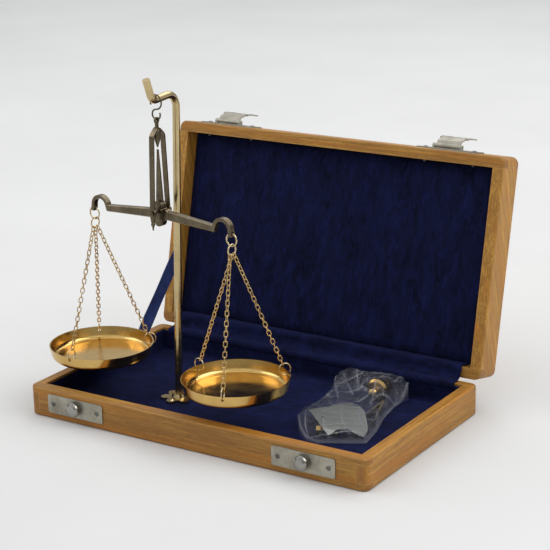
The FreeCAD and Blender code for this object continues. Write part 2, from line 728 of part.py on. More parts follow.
def hung(shape):
    """A free shape drawn about the hanging line."""
    item = shaped(shape)
    item.Placement = Placement(Vector(value("#hang_x"), value("#hang_y"), 0),
                               Rotation(Vector(0, 0, 1), value("#head_turn")))
    return item


def arc_points(centre, radius, angles):
    return [
        centre + Vector(radius * math.cos(math.radians(a)), 0, radius * math.sin(math.radians(a)))
        for a in angles
    ]


touch = value("#contact_gap")
hook_wire = value("#hook_wire")
upper_z = valley.z + value("#post_radius + #contact_gap + #hook_wire - #hook_upper")
lower_z = upper_z - value("#hook_upper + #hook_lower")
upper_arc = arc_points(Vector(0, 0, upper_z), value("#hook_upper"), (205, 57, -90))
lower_arc = arc_points(Vector(0, 0, lower_z), value("#hook_lower"), (90, 215, 385))
hook_path = Part.Wire([Part.Arc(*upper_arc).toShape(), Part.Arc(*lower_arc).toShape()])
subpart(hung(round_wire(hook_path, hook_wire)), "s_hook")

# The shears: a strap bent over into two cheeks, with an eye above and a fixed index below.
hook_bottom = lower_z - value("#hook_lower")
eye_z = hook_bottom + hook_wire + touch - value("#eye_hole")
shoulder = value("#shoulder_spread")
spread = value("#pivot_spread")
shoulder_z = value("#shoulder_z")
pivot_z = value("#pivot_z")
bow_z = shoulder_z + value("#bow_rise")
strap_path = bent_path(
    [Vector(0, -spread, pivot_z), Vector(0, -shoulder, shoulder_z), Vector(0, 0, bow_z),
     Vector(0, shoulder, shoulder_z), Vector(0, spread, pivot_z)],
    [value("#shoulder_bend"), value("#bow_bend"), value("#shoulder_bend")],
)
strap_width = value("#strap_width")
strap = value("#strap")
strap_bow = flat_strip(strap_path, strap, strap_width, (1, 0, 0))
eye = Part.makeCylinder(value("#eye_radius"), 1.0, Vector(-0.5, 0, eye_z), Vector(1, 0, 0))
stem = Part.makeBox(1.0, 2.0, eye_z - 1.2 - shoulder_z, Vector(-0.5, -1.0, shoulder_z))
eye_hole = Part.makeCylinder(value("#eye_hole"), 4, Vector(-2, 0, eye_z), Vector(1, 0, 0))
index_z = value("#index_z")
crotch_radius = value("#crotch_radius")
index = Part.makeCone(0.3, crotch_radius, shoulder_z + 0.5 - index_z, Vector(0, 0, index_z))
crotch = Part.makeCone(crotch_radius, 0.8, bow_z - shoulder_z - 1.0, Vector(0, 0, shoulder_z + 0.5))
index_slab = Part.makeBox(strap_width, 12, 20, Vector(-strap_width / 2, -6, index_z - 2))
index = index.fuse(crotch).common(index_slab)
cheek_eyes = []
for sign in (-1, 1):
    y = sign * spread - strap / 2
    cheek_eyes.append(Part.makeCylinder(2.4, strap, Vector(0, y, pivot_z), Vector(0, 1, 0)))
finial_z = value("#finial_z")
finial = Part.makeCone(0.35, 1.5, pivot_z - 1.6 - finial_z, Vector(0, -spread, finial_z))
finial_ball = Part.makeSphere(1.15, Vector(0, -spread, finial_z + 3.2))
finial_slab = Part.makeBox(6, 1.6, 14, Vector(-3, -spread - 0.8, finial_z - 2))
finial = finial.fuse(finial_ball).common(finial_slab)
pivot_bore = Part.makeCylinder(value("#pivot_radius + #fit_gap"), 20, Vector(0, -10, pivot_z),
                               Vector(0, 1, 0))
shears = strap_bow.fuse([eye, stem, index, finial] + cheek_eyes).cut([eye_hole, pivot_bore])
subpart(hung(shears.removeSplitter()), "shears")

# The beam: a lobed hub, two tapering arms that end in swan necks, and a tongue.
hub_z = value("#hub_z")


def beam_side(sign):
    """One arm and its neck, towards +X or -X."""
    reach = value("#arm_reach")
    root = value("#arm_root") / 2
    end = value("#arm_end") / 2
    fall = value("#arm_fall")
    depth = value("#arm_thickness")
    corners = [
        Vector(0, 0, hub_z + root), Vector(sign * reach, 0, hub_z - fall + end),
        Vector(sign * (reach - 0.6), 0, hub_z - fall - end), Vector(0, 0, hub_z - root),
    ]
    face = Part.Face(Part.makePolygon(corners + corners[:1]))
    face.translate(Vector(0, -depth / 2, 0))
    arm = face.extrude(Vector(0, depth, 0))
    arm = arm.makeChamfer(0.45, [edge for edge in arm.Edges if edge.Length > reach * 0.9])
    end_x = sign * value("#end_reach")
    hole_z = value("#end_z - #ring_wire - #neck_play + #neck_hole")
    foot_z = hub_z - fall - end + 0.3
    top_z = value("#neck_rise")
    bend = value("#neck_bend")
    path = bent_path(
        [Vector(sign * (reach - 1.0), 0, foot_z), Vector(sign * (reach + 1.4), 0, top_z),
         Vector(end_x - sign * 1.0, 0, top_z), Vector(end_x, 0, hole_z - 2 * value("#neck_hole"))],
        [bend, bend],
    )
    neck = flat_strip(path, value("#neck"), depth, (0, 1, 0))
    hole = Part.makeCylinder(value("#neck_hole"), 8, Vector(end_x - 4, 0, hole_z), Vector(1, 0, 0))
    return arm.fuse(neck).cut(hole)


def disc(x, z, radius, thickness):
    return Part.makeCylinder(radius, thickness, Vector(x, -thickness / 2, z), Vector(0, 1, 0))


hub_thickness = value("#hub_thickness")
lobe_ring = value("#hub_lobe_ring")
hub = [disc(0, hub_z, value("#hub_radius"), hub_thickness)]
for angle in (0, 90, 180, 270):
    x = lobe_ring * math.cos(math.radians(angle))
    z = hub_z + lobe_ring * math.sin(math.radians(angle))
    hub.append(disc(x, z, value("#hub_lobe"), hub_thickness - 1.2))
tongue_length = value("#tongue_z") - hub_z - 6
tongue = Part.makeCone(value("#tongue_root") / 2, 0.6, tongue_length, Vector(0, 0, hub_z + 6))
tongue_slab = Part.makeBox(8, 1.5, 60, Vector(-4, -0.75, hub_z))
beam = hub[0].fuse(hub[1:] + [tongue.common(tongue_slab), beam_side(-1), beam_side(1)])
pivot_seat = Part.makeCylinder(value("#pivot_radius"), 20, Vector(0, -10, pivot_z), Vector(0, 1, 0))
subpart(hung(beam.cut(pivot_seat).removeSplitter()), "beam")

pivot_reach = spread + strap / 2 + 0.9
pivot = Part.makeCylinder(value("#pivot_radius"), 2 * pivot_reach, Vector(0, -pivot_reach, pivot_z),
                          Vector(0, 1, 0))
caps = [
    Part.makeCylinder(1.3, 0.6, Vector(0, y, pivot_z), Vector(0, 1, 0))
    for y in (-pivot_reach, pivot_reach - 0.6)
]
subpart(hung(pivot.fuse(caps)), "beam_pivot")


# ---------------------------------------------------------------- rings, chains and pans

wire = value("#ring_wire")
upper_ring = value("#upper_ring")
lower_ring = value("#lower_ring")
upper_ring_z = value("#end_z") - upper_ring
lower_ring_top = upper_ring_z - upper_ring + 2 * wire + touch
lower_ring_z = lower_ring_top - lower_ring
link_wire = value("#link_wire")
pan_ring = value("#pan_ring")
pan_wire = value("#pan_ring_wire")
pan_wall = value("#pan_radius - #pan_flare * #rim_hole_drop / #pan_height - #pan_sheet / 2")


def wire_ring(centre, radius, normal, thickness):
    return Part.makeTorus(radius, thickness, centre, normal)


def chain_link(half_length, bend, radius):
    """One oval link about its middle, long along Z and flat in XZ."""
    straight = half_length - bend
    left = Vector(-bend, 0, 0)
    rise = Vector(0, 0, straight)
    top = Vector(0, 0, half_length)
    path = Part.Wire([
        Part.LineSegment(left - rise, left + rise).toShape(),
        Part.Arc(left + rise, top, rise - left).toShape(),
        Part.LineSegment(rise - left, -left - rise).toShape(),
        Part.Arc(-left - rise, -top, left - rise).toShape(),
    ])
    section = Part.Wire([Part.Circle(left - rise, Vector(0, 0, 1), radius).toShape()])
    return path.makePipeShell([section], True, False)


def chain(top, bottom, first_normal, last_normal):
    """Links from the middle of the top wire to the middle of the bottom wire.

    The first and last links lie square to those two normals, and the links between share the twist.
    """
    count = int(value("#link_count"))
    run = bottom - top
    overlap = 2 * link_wire + touch
    link_length = (run.Length + (count - 1) * overlap) / count
    along = Vector(run).normalize()
    side = along.cross(first_normal).normalize()
    front = along.cross(side).normalize()
    last_side = along.cross(last_normal).normalize()
    last_angle = math.degrees(math.atan2(last_side.dot(front), last_side.dot(side)))
    twist = (last_angle - 90 * (count - 1) + 90) % 180 - 90
    step = math.radians(90 + twist / (count - 1))
    links = []
    for number in range(count):
        middle = top + along * (link_length / 2 + number * (link_length - overlap))
        across = side * math.cos(number * step) + front * math.sin(number * step)
        link = chain_link(link_length / 2, value("#link_bend"), link_wire)
        link.Placement = Placement(middle, Rotation(across, along.cross(across), along, "ZXY"))
        links.append(link)
    return Part.makeCompound(links)


def pan(holes):
    """A dished pan about its own axis, its floor's underside at Z = 0."""
    outside = cone("0", "0", "0", "#pan_radius - #pan_flare", "#pan_radius", "#pan_height")
    inside = cone("0", "0", "#pan_sheet", "#pan_radius - #pan_flare - #pan_sheet",
                  "#pan_radius - #pan_sheet", "#pan_height - #pan_sheet + 0.01")
    outer_bend = value("#pan_bend")
    sheet_low = value("#pan_sheet") + 0.1

    def rounding(radius):
        def choose(edge):
            bounds = edge.BoundBox
            return radius if bounds.ZMax < sheet_low and bounds.XLength > 10 else 0
        return choose

    drills = [
        rod("0", "0", "#pan_height - #rim_hole_drop", "#rim_hole", "#pan_radius + 2",
            (math.cos(math.radians(azimuth)), math.sin(math.radians(azimuth)), 0))
        for azimuth, _ in holes
    ]
    return cut(rounded(outside, rounding(outer_bend)),
               rounded(inside, rounding(outer_bend - value("#pan_sheet"))), *drills)


def pan_hanger(side, sign, holes):
    """Both rings, three chains, the pan and its rings below one end of the beam."""
    turn_out = math.radians(value("#head_turn"))
    reach = sign * value("#end_reach")
    end = Vector(value("#hang_x") + reach * math.cos(turn_out),
                 value("#hang_y") + reach * math.sin(turn_out), 0)
    across = Vector(-math.sin(turn_out), math.cos(turn_out), 0)
    along = Vector(math.cos(turn_out), math.sin(turn_out), 0)
    height = Vector(0, 0, 1)
    beam_ring = wire_ring(end + height * upper_ring_z, upper_ring, across, wire)
    subpart(shaped(beam_ring), side + "_beam_ring")
    gather = end + height * lower_ring_z
    subpart(shaped(wire_ring(gather, lower_ring, along, wire)), side + "_chain_ring")

    subpart(place(pan(holes), "%.6f" % end.x, "%.6f" % end.y, "#rim_z - #pan_height"),
            side + "_pan")

    rings = []
    chains = []
    for azimuth, seat in holes:
        out = Vector(math.cos(math.radians(azimuth)), math.sin(math.radians(azimuth)), 0)
        hole_z = value("#rim_z - #rim_hole_drop + #rim_hole - #pan_ring_wire - #pan_ring_play")
        low = end + out * pan_wall + height * hole_z
        slide = math.radians(seat)
        to_seat = across * math.sin(slide) - height * math.cos(slide)
        seat_wire = across * math.cos(slide) + height * math.sin(slide)
        seat_point = gather + to_seat * lower_ring
        pull = Vector(seat_point - low).normalize()
        top = seat_point + pull * (wire + link_wire + 2 * touch)
        rings.append(wire_ring(low + pull * pan_ring, pan_ring, out.cross(height), pan_wire))
        bottom = low + pull * (2 * pan_ring - pan_wire - link_wire - 2 * touch)
        chains.append(chain(top, bottom, seat_wire, out))
    subpart(shaped(Part.makeCompound(rings)), side + "_pan_rings")
    for name, links in zip(("front", "back", "side"), chains):
        subpart(shaped(links), "%s_%s_chain" % (side, name))


pan_hanger("left", -1, [(-89, -33), (37, 33), (131, 0)])
pan_hanger("right", 1, [(-70, -33), (50, 33), (170, 0)])


# ---------------------------------------------------------------- weights in their pouch

pouch_middle = Vector(value("#pouch_x"), value("#pouch_y"), value(FLOOR_TOP) + 0.06)
pouch_frame = Placement(pouch_middle, Rotation(Vector(0, 0, 1), value("#pouch_turn")))


def in_pouch(shape, x, y, z, axis=(0, 0, 1)):
    """A piece whose own +Z points along axis, at a place measured in the pouch."""
    item = shaped(shape)
    item.Placement = pouch_frame.multiply(
        Placement(Vector(x, y, z), Rotation(Vector(0, 0, 1), Vector(*axis))))
    return item


# The lying pouch seen from above, and the (y, z) line of its top.
POUCH_PLAN = [(50, -29), (84, -17), (76, 20), (74, 50), (22, 50), (27, 20), (31, -4)]
POUCH_TOP = [
    (50, "#pouch_back"), (33, "#pouch_height"), (25, "#pouch_front + 3"), (10, "#pouch_front"),
    (-10, "#pouch_front"), (-22, "#pouch_front - 0.6"), (-30, "#pouch_front - 3"),
]


def pouch_solid(inset):
    """The pouch's outside, drawn in by an inset."""
    plan = [Vector(x, y, 0) for x, y in POUCH_PLAN]
    profile = [Vector(0, y, value(z)) for y, z in POUCH_TOP]
    profile += [Vector(0, y, pouch_middle.z) for y in (POUCH_TOP[-1][0], POUCH_TOP[0][0])]
    faces = []
    for corners in (plan, profile):
        face = Part.Face(Part.makePolygon(corners + corners[:1]))
        faces.append(face.makeOffset2D(-inset, 2) if inset else face)
    return faces[0].extrude(Vector(0, 0, 60)).common(faces[1].extrude(Vector(120, 0, 0)))


def knob_weight(radius, height):
    """A turned weight with a knob, its foot at Z = 0."""
    profile = [
        Vector(0, 0, 0), Vector(radius, 0, 0), Vector(radius, 0, height * 0.86),
        Vector(radius * 0.8, 0, height), Vector(radius * 0.3, 0, height + radius * 0.12),
        Vector(radius * 0.3, 0, height + radius * 0.3), Vector(0, 0, height + radius * 0.3),
    ]
    turned = Part.Face(Part.makePolygon(profile + profile[:1])).revolve(
        Vector(0, 0, 0), Vector(0, 0, 1), 360)
    ball = Part.makeSphere(radius * 0.46, Vector(0, 0, height + radius * 0.62))
    return turned.fuse(ball)


def tweezers(length, width, sheet_thickness, opening):
    """Two sprung blades joined at one end, lying on edge along -Y from their joined end."""
    blades = []
    for sign in (-1, 1):
        profile = [
            Vector(0, 0, 0), Vector(sign * sheet_thickness, 0, 0),
            Vector(sign * (opening + sheet_thickness), -length * 0.55, 0),
            Vector(sign * 0.9, -length, 0), Vector(sign * 0.35, -length, 0),
            Vector(sign * opening, -length * 0.55, 0), Vector(0, -6, 0),
        ]
        blades.append(Part.Face(Part.makePolygon(profile + profile[:1])).extrude(
            Vector(0, 0, width)))
    return blades[0].fuse(blades[1]).removeSplitter()


film = value("#pouch_film")
subpart(shaped(pouch_solid(0).cut(pouch_solid(film))), "weight_pouch")
knob_radius = value("#knob_radius")
large_weight = knob_weight(knob_radius, 8.6)
subpart(in_pouch(large_weight, 5.0, 37.0, film + 0.1 + knob_radius, (-0.12, -1, 0)),
        "large_knob_weight")
small_weights = [
    in_pouch(knob_weight(2.9, 3.2), -12.5, -16.0, film + 0.1 + 2.9, (0.5, -1, 0)),
    in_pouch(knob_weight(2.4, 2.8), -12.0, -28.0, film + 0.1 + 2.4, (1, 0.25, 0)),
    in_pouch(knob_weight(1.9, 2.2), -3.0, -26.0, film + 0.1 + 1.9, (0.7, -0.7, 0)),
]
subpart(group(*small_weights), "small_knob_weights")
subpart(in_pouch(tweezers(52.0, 3.0, 0.7, 3.4), 10.0, 24.0, film + 0.1), "tweezers")


# ---------------------------------------------------------------- checks and files

doc.recompute()
for item in doc.Objects:
    if "Invalid" in item.State or "Error" in item.State:
        raise RuntimeError("%s (%s) did not recompute: %s" % (item.Label, item.Name, item.State))
names = [item.Label for item in subparts]
if len(set(names)) != len(names):
    raise RuntimeError("two sub-parts share a label")
for item in subparts:
    if item.Shape.isNull() or not item.Shape.isValid() or item.Shape.Volume <= 0:
        raise RuntimeError("%s has no valid shape" % item.Label)

os.makedirs("parts", exist_ok=True)
for item in subparts:
    item.Shape.exportStep("parts/%s.step" % item.Label)
print("%d sub-parts written" % len(subparts))
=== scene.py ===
import json
import math

import bpy
import numpy as np
from mathutils import Matrix, Vector


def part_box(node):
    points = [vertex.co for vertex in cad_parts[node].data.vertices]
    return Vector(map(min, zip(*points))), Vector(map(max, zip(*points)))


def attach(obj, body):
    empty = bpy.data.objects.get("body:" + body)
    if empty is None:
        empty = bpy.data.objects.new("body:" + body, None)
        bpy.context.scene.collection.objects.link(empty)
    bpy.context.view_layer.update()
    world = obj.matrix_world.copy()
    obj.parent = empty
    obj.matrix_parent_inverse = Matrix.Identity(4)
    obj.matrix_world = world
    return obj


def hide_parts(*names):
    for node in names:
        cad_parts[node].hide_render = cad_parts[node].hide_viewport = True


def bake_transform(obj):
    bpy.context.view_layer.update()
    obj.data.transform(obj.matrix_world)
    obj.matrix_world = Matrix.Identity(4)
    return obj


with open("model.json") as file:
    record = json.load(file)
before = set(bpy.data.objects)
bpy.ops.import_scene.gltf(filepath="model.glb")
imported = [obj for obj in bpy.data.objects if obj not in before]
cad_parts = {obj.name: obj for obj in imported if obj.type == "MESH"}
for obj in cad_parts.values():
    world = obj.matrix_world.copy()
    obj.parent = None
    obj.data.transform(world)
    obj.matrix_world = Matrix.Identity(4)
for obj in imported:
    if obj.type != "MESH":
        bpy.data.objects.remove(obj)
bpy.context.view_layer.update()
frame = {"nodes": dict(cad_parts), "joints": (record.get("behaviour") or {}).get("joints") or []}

MM = 0.001
NODES = frame["nodes"]
JOINTS = {joint["name"]: joint for joint in frame["joints"]}


# ------------------------------------------------------------------ camera

CAMERA_PLACE = (0.50147, -0.74673, 0.35658)
CAMERA_RIGHT = (0.84209, 0.538928, -0.02101)
CAMERA_UP = (-0.14081, 0.25729, 0.95602)
CAMERA_BACK = (0.520631, -0.802097, 0.292548)
LENS = 111.417
SENSOR = 36.0

camera_data = bpy.data.cameras.new("camera")
camera_data.lens = LENS
camera_data.sensor_width = SENSOR
camera_data.clip_start = 0.02
camera_data.clip_end = 50.0
camera = bpy.data.objects.new("camera", camera_data)
bpy.context.scene.collection.objects.link(camera)
axes = Matrix((CAMERA_RIGHT, CAMERA_UP, CAMERA_BACK)).transposed()
camera.matrix_world = Matrix.Translation(CAMERA_PLACE) @ axes.to_4x4()
bpy.context.scene.camera = camera
bpy.context.scene.view_settings.view_transform = "Standard"


# ------------------------------------------------------------------ material helpers

class Shader:
    """A node tree with short calls for the nodes that the materials share."""

    def __init__(self, name):
        self.material = bpy.data.materials.new(name)
        self.material.use_nodes = True
        self.tree = self.material.node_tree
        self.surface = self.tree.nodes["Principled BSDF"]
        self.coords = None

    def node(self, kind, **settings):
        made = self.tree.nodes.new(kind)
        for key, setting in settings.items():
            setattr(made, key, setting)
        return made

    def link(self, out, into):
        self.tree.links.new(out, into)

    def put(self, into, source):
        if isinstance(source, bpy.types.NodeSocket):
            self.link(source, into)
        else:
            into.default_value = source

    def place(self):
        if self.coords is None:
            self.coords = self.node("ShaderNodeTexCoord")
        return self.coords.outputs["Object"]

    def mapped(self, source, rotation=(0, 0, 0), scale=(1, 1, 1), location=(0, 0, 0)):
        made = self.node("ShaderNodeMapping")
        made.inputs["Rotation"].default_value = rotation
        made.inputs["Scale"].default_value = scale
        made.inputs["Location"].default_value = location
        self.link(source, made.inputs["Vector"])
        return made.outputs["Vector"]

    def noise(self, source, scale, detail=4.0, roughness=0.55, distortion=0.0):
        made = self.node("ShaderNodeTexNoise")
        self.link(source, made.inputs["Vector"])
        made.inputs["Scale"].default_value = scale
        made.inputs["Detail"].default_value = detail
        made.inputs["Roughness"].default_value = roughness
        made.inputs["Distortion"].default_value = distortion
        return made.outputs["Fac"]

    def ramp(self, source, *stops):
        """A colour ramp; a stop is (place, grey or colour)."""
        made = self.node("ShaderNodeValToRGB")
        band = made.color_ramp
        for i, (at, shade) in enumerate(stops):
            point = band.elements[i] if i < 2 else band.elements.new(at)
            point.position = at
            colour = (shade,) * 3 if isinstance(shade, (int, float)) else shade
            point.color = (*colour, 1.0)
        self.link(source, made.inputs["Fac"])
        return made.outputs["Color"]

    def mix(self, share, a, b, how="MIX"):
        made = self.node("ShaderNodeMix", data_type="RGBA", blend_type=how)
        self.put(made.inputs["Factor"], share)
        for socket, source in ((made.inputs[6], a), (made.inputs[7], b)):
            self.put(socket, source if isinstance(source, bpy.types.NodeSocket) else (*source, 1.0))
        return made.outputs[2]

    def math(self, how, a, b=0.0, clamp=False):
        made = self.node("ShaderNodeMath", operation=how, use_clamp=clamp)
        self.put(made.inputs[0], a)
        self.put(made.inputs[1], b)
        return made.outputs[0]

    def bump(self, height, strength, distance):
        made = self.node("ShaderNodeBump")
        made.inputs["Strength"].default_value = strength
        made.inputs["Distance"].default_value = distance
        self.link(height, made.inputs["Height"])
        return made.outputs["Normal"]

    def edges(self, radius, low, high):
        """1 on worn edges and 0 on flat faces."""
        bevel = self.node("ShaderNodeBevel", samples=4)
        bevel.inputs["Radius"].default_value = radius
        geometry = self.node("ShaderNodeNewGeometry")
        dot = self.node("ShaderNodeVectorMath", operation="DOT_PRODUCT")
        self.link(bevel.outputs["Normal"], dot.inputs[0])
        self.link(geometry.outputs["True Normal"], dot.inputs[1])
        return self.ramp(self.math("SUBTRACT", 1.0, dot.outputs["Value"]), (low, 0.0), (high, 1.0))

    def set(self, **sockets):
        for key, source in sockets.items():
            self.put(self.surface.inputs[key.replace("_", " ")], source)
        return self


def wood(name, grain, tone=1.0, seed=0.0):
    """Oiled honey-coloured wood whose grain runs along the direction grain (a unit vector)."""
    s = Shader(name)
    turned = s.mapped(s.place(), rotation=tuple(-a for a in direction_euler(grain)))
    moved = s.mapped(turned, location=(seed, seed * 1.7, seed * 0.6))
    broad = s.noise(s.mapped(moved, scale=(9, 130, 130)), 1.0, 3.0, 0.5, 0.6)
    bands = s.noise(s.mapped(moved, scale=(14, 430, 430)), 1.0, 4.0, 0.6, 0.4)
    fibre = s.noise(s.mapped(moved, scale=(110, 2600, 2600)), 1.0, 3.0, 0.6)
    pores = s.noise(s.mapped(moved, scale=(240, 4200, 4200)), 1.0, 1.0, 0.5)
    light = tuple(c * tone for c in (0.56, 0.300, 0.056))
    middle = tuple(c * tone for c in (0.43, 0.200, 0.032))
    dark = tuple(c * tone for c in (0.190, 0.074, 0.012))
    base = s.ramp(broad, (0.30, middle), (0.52, light), (0.72, middle))
    streaks = s.ramp(bands, (0.34, 0.0), (0.47, 1.0), (0.60, 0.0))
    base = s.mix(s.math("MULTIPLY", streaks, 0.58), base, dark)
    base = s.mix(s.math("MULTIPLY", s.ramp(fibre, (0.40, 1.0), (0.56, 0.0)), 0.42), base, dark)
    warm = s.noise(s.mapped(moved, scale=(6, 190, 190), location=(seed * 2, 0.4, 0.9)), 1.0, 2.0, 0.5)
    base = s.mix(s.math("MULTIPLY", s.ramp(warm, (0.50, 0.0), (0.66, 1.0)), 0.55), base,
                 tuple(c * tone for c in (0.46, 0.165, 0.014)))
    base = s.mix(s.math("MULTIPLY", s.ramp(pores, (0.30, 1.0), (0.37, 0.0)), 0.6), base,
                 tuple(c * 0.5 for c in dark))
    normal = s.coords.outputs["Normal"]
    facing = s.node("ShaderNodeVectorMath", operation="DOT_PRODUCT")
    s.link(normal, facing.inputs[0])
    facing.inputs[1].default_value = grain
    end_grain = s.ramp(s.math("ABSOLUTE", facing.outputs["Value"]), (0.62, 0.0), (0.92, 1.0))
    base = s.mix(s.math("MULTIPLY", end_grain, 0.55), base, tuple(c * tone for c in (0.25, 0.095, 0.02)))
    soiled = s.noise(s.place(), 38.0, 5.0, 0.6)
    base = s.mix(s.math("MULTIPLY", s.ramp(soiled, (0.42, 0.0), (0.75, 1.0)), 0.28), base, dark)
    worn = s.edges(0.0012, 0.02, 0.25)
    base = s.mix(s.math("MULTIPLY", worn, 0.35), base, tuple(c * tone for c in (0.60, 0.36, 0.11)))
    relief = s.math("ADD", s.math("MULTIPLY", fibre, 0.6), s.ramp(pores, (0.30, 0.0), (0.38, 0.5)))
    s.set(Base_Color=base, Roughness=s.ramp(fibre, (0.3, 0.42), (0.7, 0.58)),
          Normal=s.bump(relief, 0.35, 0.00012))
    s.surface.inputs["Specular IOR Level"].default_value = 0.35
    s.surface.inputs["Coat Weight"].default_value = 0.06
    s.surface.inputs["Coat Roughness"].default_value = 0.35
    return s.material


def direction_euler(direction):
    """Turning +X onto the direction, as Euler angles for a Mapping node."""
    d = Vector(direction).normalized()
    return tuple(Vector((1, 0, 0)).rotation_difference(d).to_euler("XYZ"))


def metal(name, colour, dull, roughness, tarnish, wear=None):
    """A metal with cloudy tarnish, fine scratches and, where wear is a colour, bright edges."""
    s = Shader(name)
    clouds = s.noise(s.place(), 95.0, 5.0, 0.62, 0.3)
    specks = s.noise(s.place(), 620.0, 3.0, 0.6)
    grain = 900.0
    rubbed = s.noise(s.mapped(s.place(), scale=(grain, grain * 0.12, grain * 0.35)), 1.0, 2.0, 0.5)
    share = s.math("MULTIPLY", s.ramp(clouds, (0.40, 0.0), (0.72, 1.0)), tarnish)
    base = s.mix(share, colour, dull)
    base = s.mix(s.math("MULTIPLY", s.ramp(specks, (0.60, 0.0), (0.72, 1.0)), tarnish), base, dull)
    if wear is not None:
        base = s.mix(s.edges(0.00025, 0.04, 0.30), base, wear)
    low, high = roughness
    uneven = s.mix(0.5, s.ramp(clouds, (0.35, 0.0), (0.70, 1.0)), s.ramp(rubbed, (0.35, 0.0), (0.65, 1.0)))
    rough = s.ramp(uneven, (0.0, low), (1.0, high))
    s.set(Base_Color=base, Roughness=rough, Normal=s.bump(rubbed, 0.06, 0.00004))
    s.surface.inputs["Metallic"].default_value = 1.0
    return s.material


def spun_metal(name, centre, colour, dull, roughness):
    """Polished spun brass: fine turning rings about an upright axis through centre."""
    s = Shader(name)
    moved = s.mapped(s.place(), location=(-centre[0], -centre[1], 0.0))
    flat = s.mapped(moved, scale=(1, 1, 0))
    length = s.node("ShaderNodeVectorMath", operation="LENGTH")
    s.link(flat, length.inputs[0])
    rings = s.node("ShaderNodeTexNoise", noise_dimensions="1D")
    s.link(length.outputs["Value"], rings.inputs["W"])
    rings.inputs["Scale"].default_value = 2400.0
    rings.inputs["Detail"].default_value = 2.0
    clouds = s.noise(s.place(), 70.0, 5.0, 0.6, 0.4)
    spots = s.noise(s.place(), 420.0, 2.0, 0.5)
    base = s.mix(s.math("MULTIPLY", s.ramp(clouds, (0.42, 0.0), (0.74, 1.0)), 0.45), colour, dull)
    base = s.mix(s.math("MULTIPLY", s.ramp(spots, (0.66, 0.0), (0.75, 1.0)), 0.4), base, dull)
    low, high = roughness
    s.set(Base_Color=base, Roughness=s.ramp(clouds, (0.35, low), (0.75, high)),
          Normal=s.bump(rings.outputs["Fac"], 0.05, 0.00005))
    s.surface.inputs["Metallic"].default_value = 1.0
    return s.material


def velvet(name, streaks):
    """Royal blue velvet; streaks is the scale that draws its nap out along one direction. Its patches of
    brighter blue are partly the nap's own tone and partly painted sheen.
    """
    s = Shader(name)
    nap_tone_and_sheen = s.noise(s.mapped(s.place(), scale=streaks), 1.0, 5.0, 0.62, 0.8)
    brushed = s.noise(s.mapped(s.place(), scale=tuple(4.5 * a for a in streaks)), 1.0, 3.0, 0.6)
    pile = s.noise(s.place(), 3600.0, 2.0, 0.6)
    deep, bright = (0.0024, 0.0034, 0.0170), (0.0082, 0.0122, 0.0620)
    # Patches of deeper and brighter blue: partly the nap's own tone, partly painted sheen of the nap.
    base = s.mix(s.ramp(nap_tone_and_sheen, (0.36, 0.0), (0.68, 1.0)), deep, bright)
    base = s.mix(s.math("MULTIPLY", s.ramp(brushed, (0.45, 0.0), (0.75, 1.0)), 0.5), base,
                 (0.011, 0.016, 0.082))
    # Brighter blue patches over the nap: painted sheen.
    painted_sheen = s.noise(s.mapped(s.place(), scale=tuple(1.6 * a for a in streaks), location=(3.1, 1.7, 0.4)),
                     1.0, 4.0, 0.7, 1.2)
    base = s.mix(s.math("MULTIPLY", s.ramp(painted_sheen, (0.54, 0.0), (0.70, 1.0)), 0.6), base,
                 (0.014, 0.020, 0.125))
    base = s.mix(s.math("MULTIPLY", s.ramp(pile, (0.35, 1.0), (0.60, 0.0)), 0.6), base,
                 (0.0016, 0.0018, 0.0080))
    relief = s.math("ADD", pile, s.math("MULTIPLY", brushed, 1.2))
    s.set(Base_Color=base, Normal=s.bump(relief, 0.55, 0.0004))
    s.surface.inputs["Roughness"].default_value = 0.95
    s.surface.inputs["Specular IOR Level"].default_value = 0.12
    s.surface.inputs["Sheen Weight"].default_value = 0.10
    s.surface.inputs["Sheen Roughness"].default_value = 0.45
    s.surface.inputs["Sheen Tint"].default_value = (0.12, 0.16, 0.65, 1.0)
    return s.material


def assign(material, *names):
    for name in names:
        data = NODES[name].data
        data.materials.clear()
        data.materials.append(material)


def both(name):
    return ("left_" + name, "right_" + name)


# ------------------------------------------------------------------ materials of the CAD pieces

LID_ANGLE = 102.6
lid_turn = math.radians(LID_ANGLE)
LID_HINGE = Vector(JOINTS["lid_hinge"]["pos_m"])
LID_UP = Vector((0.0, -math.cos(lid_turn), math.sin(lid_turn)))
LID_BACK = Vector((0.0, math.sin(lid_turn), math.cos(lid_turn)))

assign(wood("wood_front", (1, 0, 0), 0.92, 0.31), "base_front_wall")
assign(wood("wood_base_back", (1, 0, 0), 0.95, 1.13), "base_back_wall")
assign(wood("wood_base_side", (0, 1, 0), 1.0, 2.21), "base_left_wall", "base_right_wall")
assign(wood("wood_floor_board", (1, 0, 0), 0.9, 3.7), "base_floor_board")
assign(wood("wood_lid_front", (1, 0, 0), 1.0, 4.4), "lid_front_wall")
assign(wood("wood_lid_back", (1, 0, 0), 0.95, 5.2), "lid_back_wall")
assign(wood("wood_lid_side", tuple(LID_UP), 1.1, 6.6), "lid_left_wall", "lid_right_wall")
assign(wood("wood_lid_top", (1, 0, 0), 1.0, 7.9), "lid_top_board")

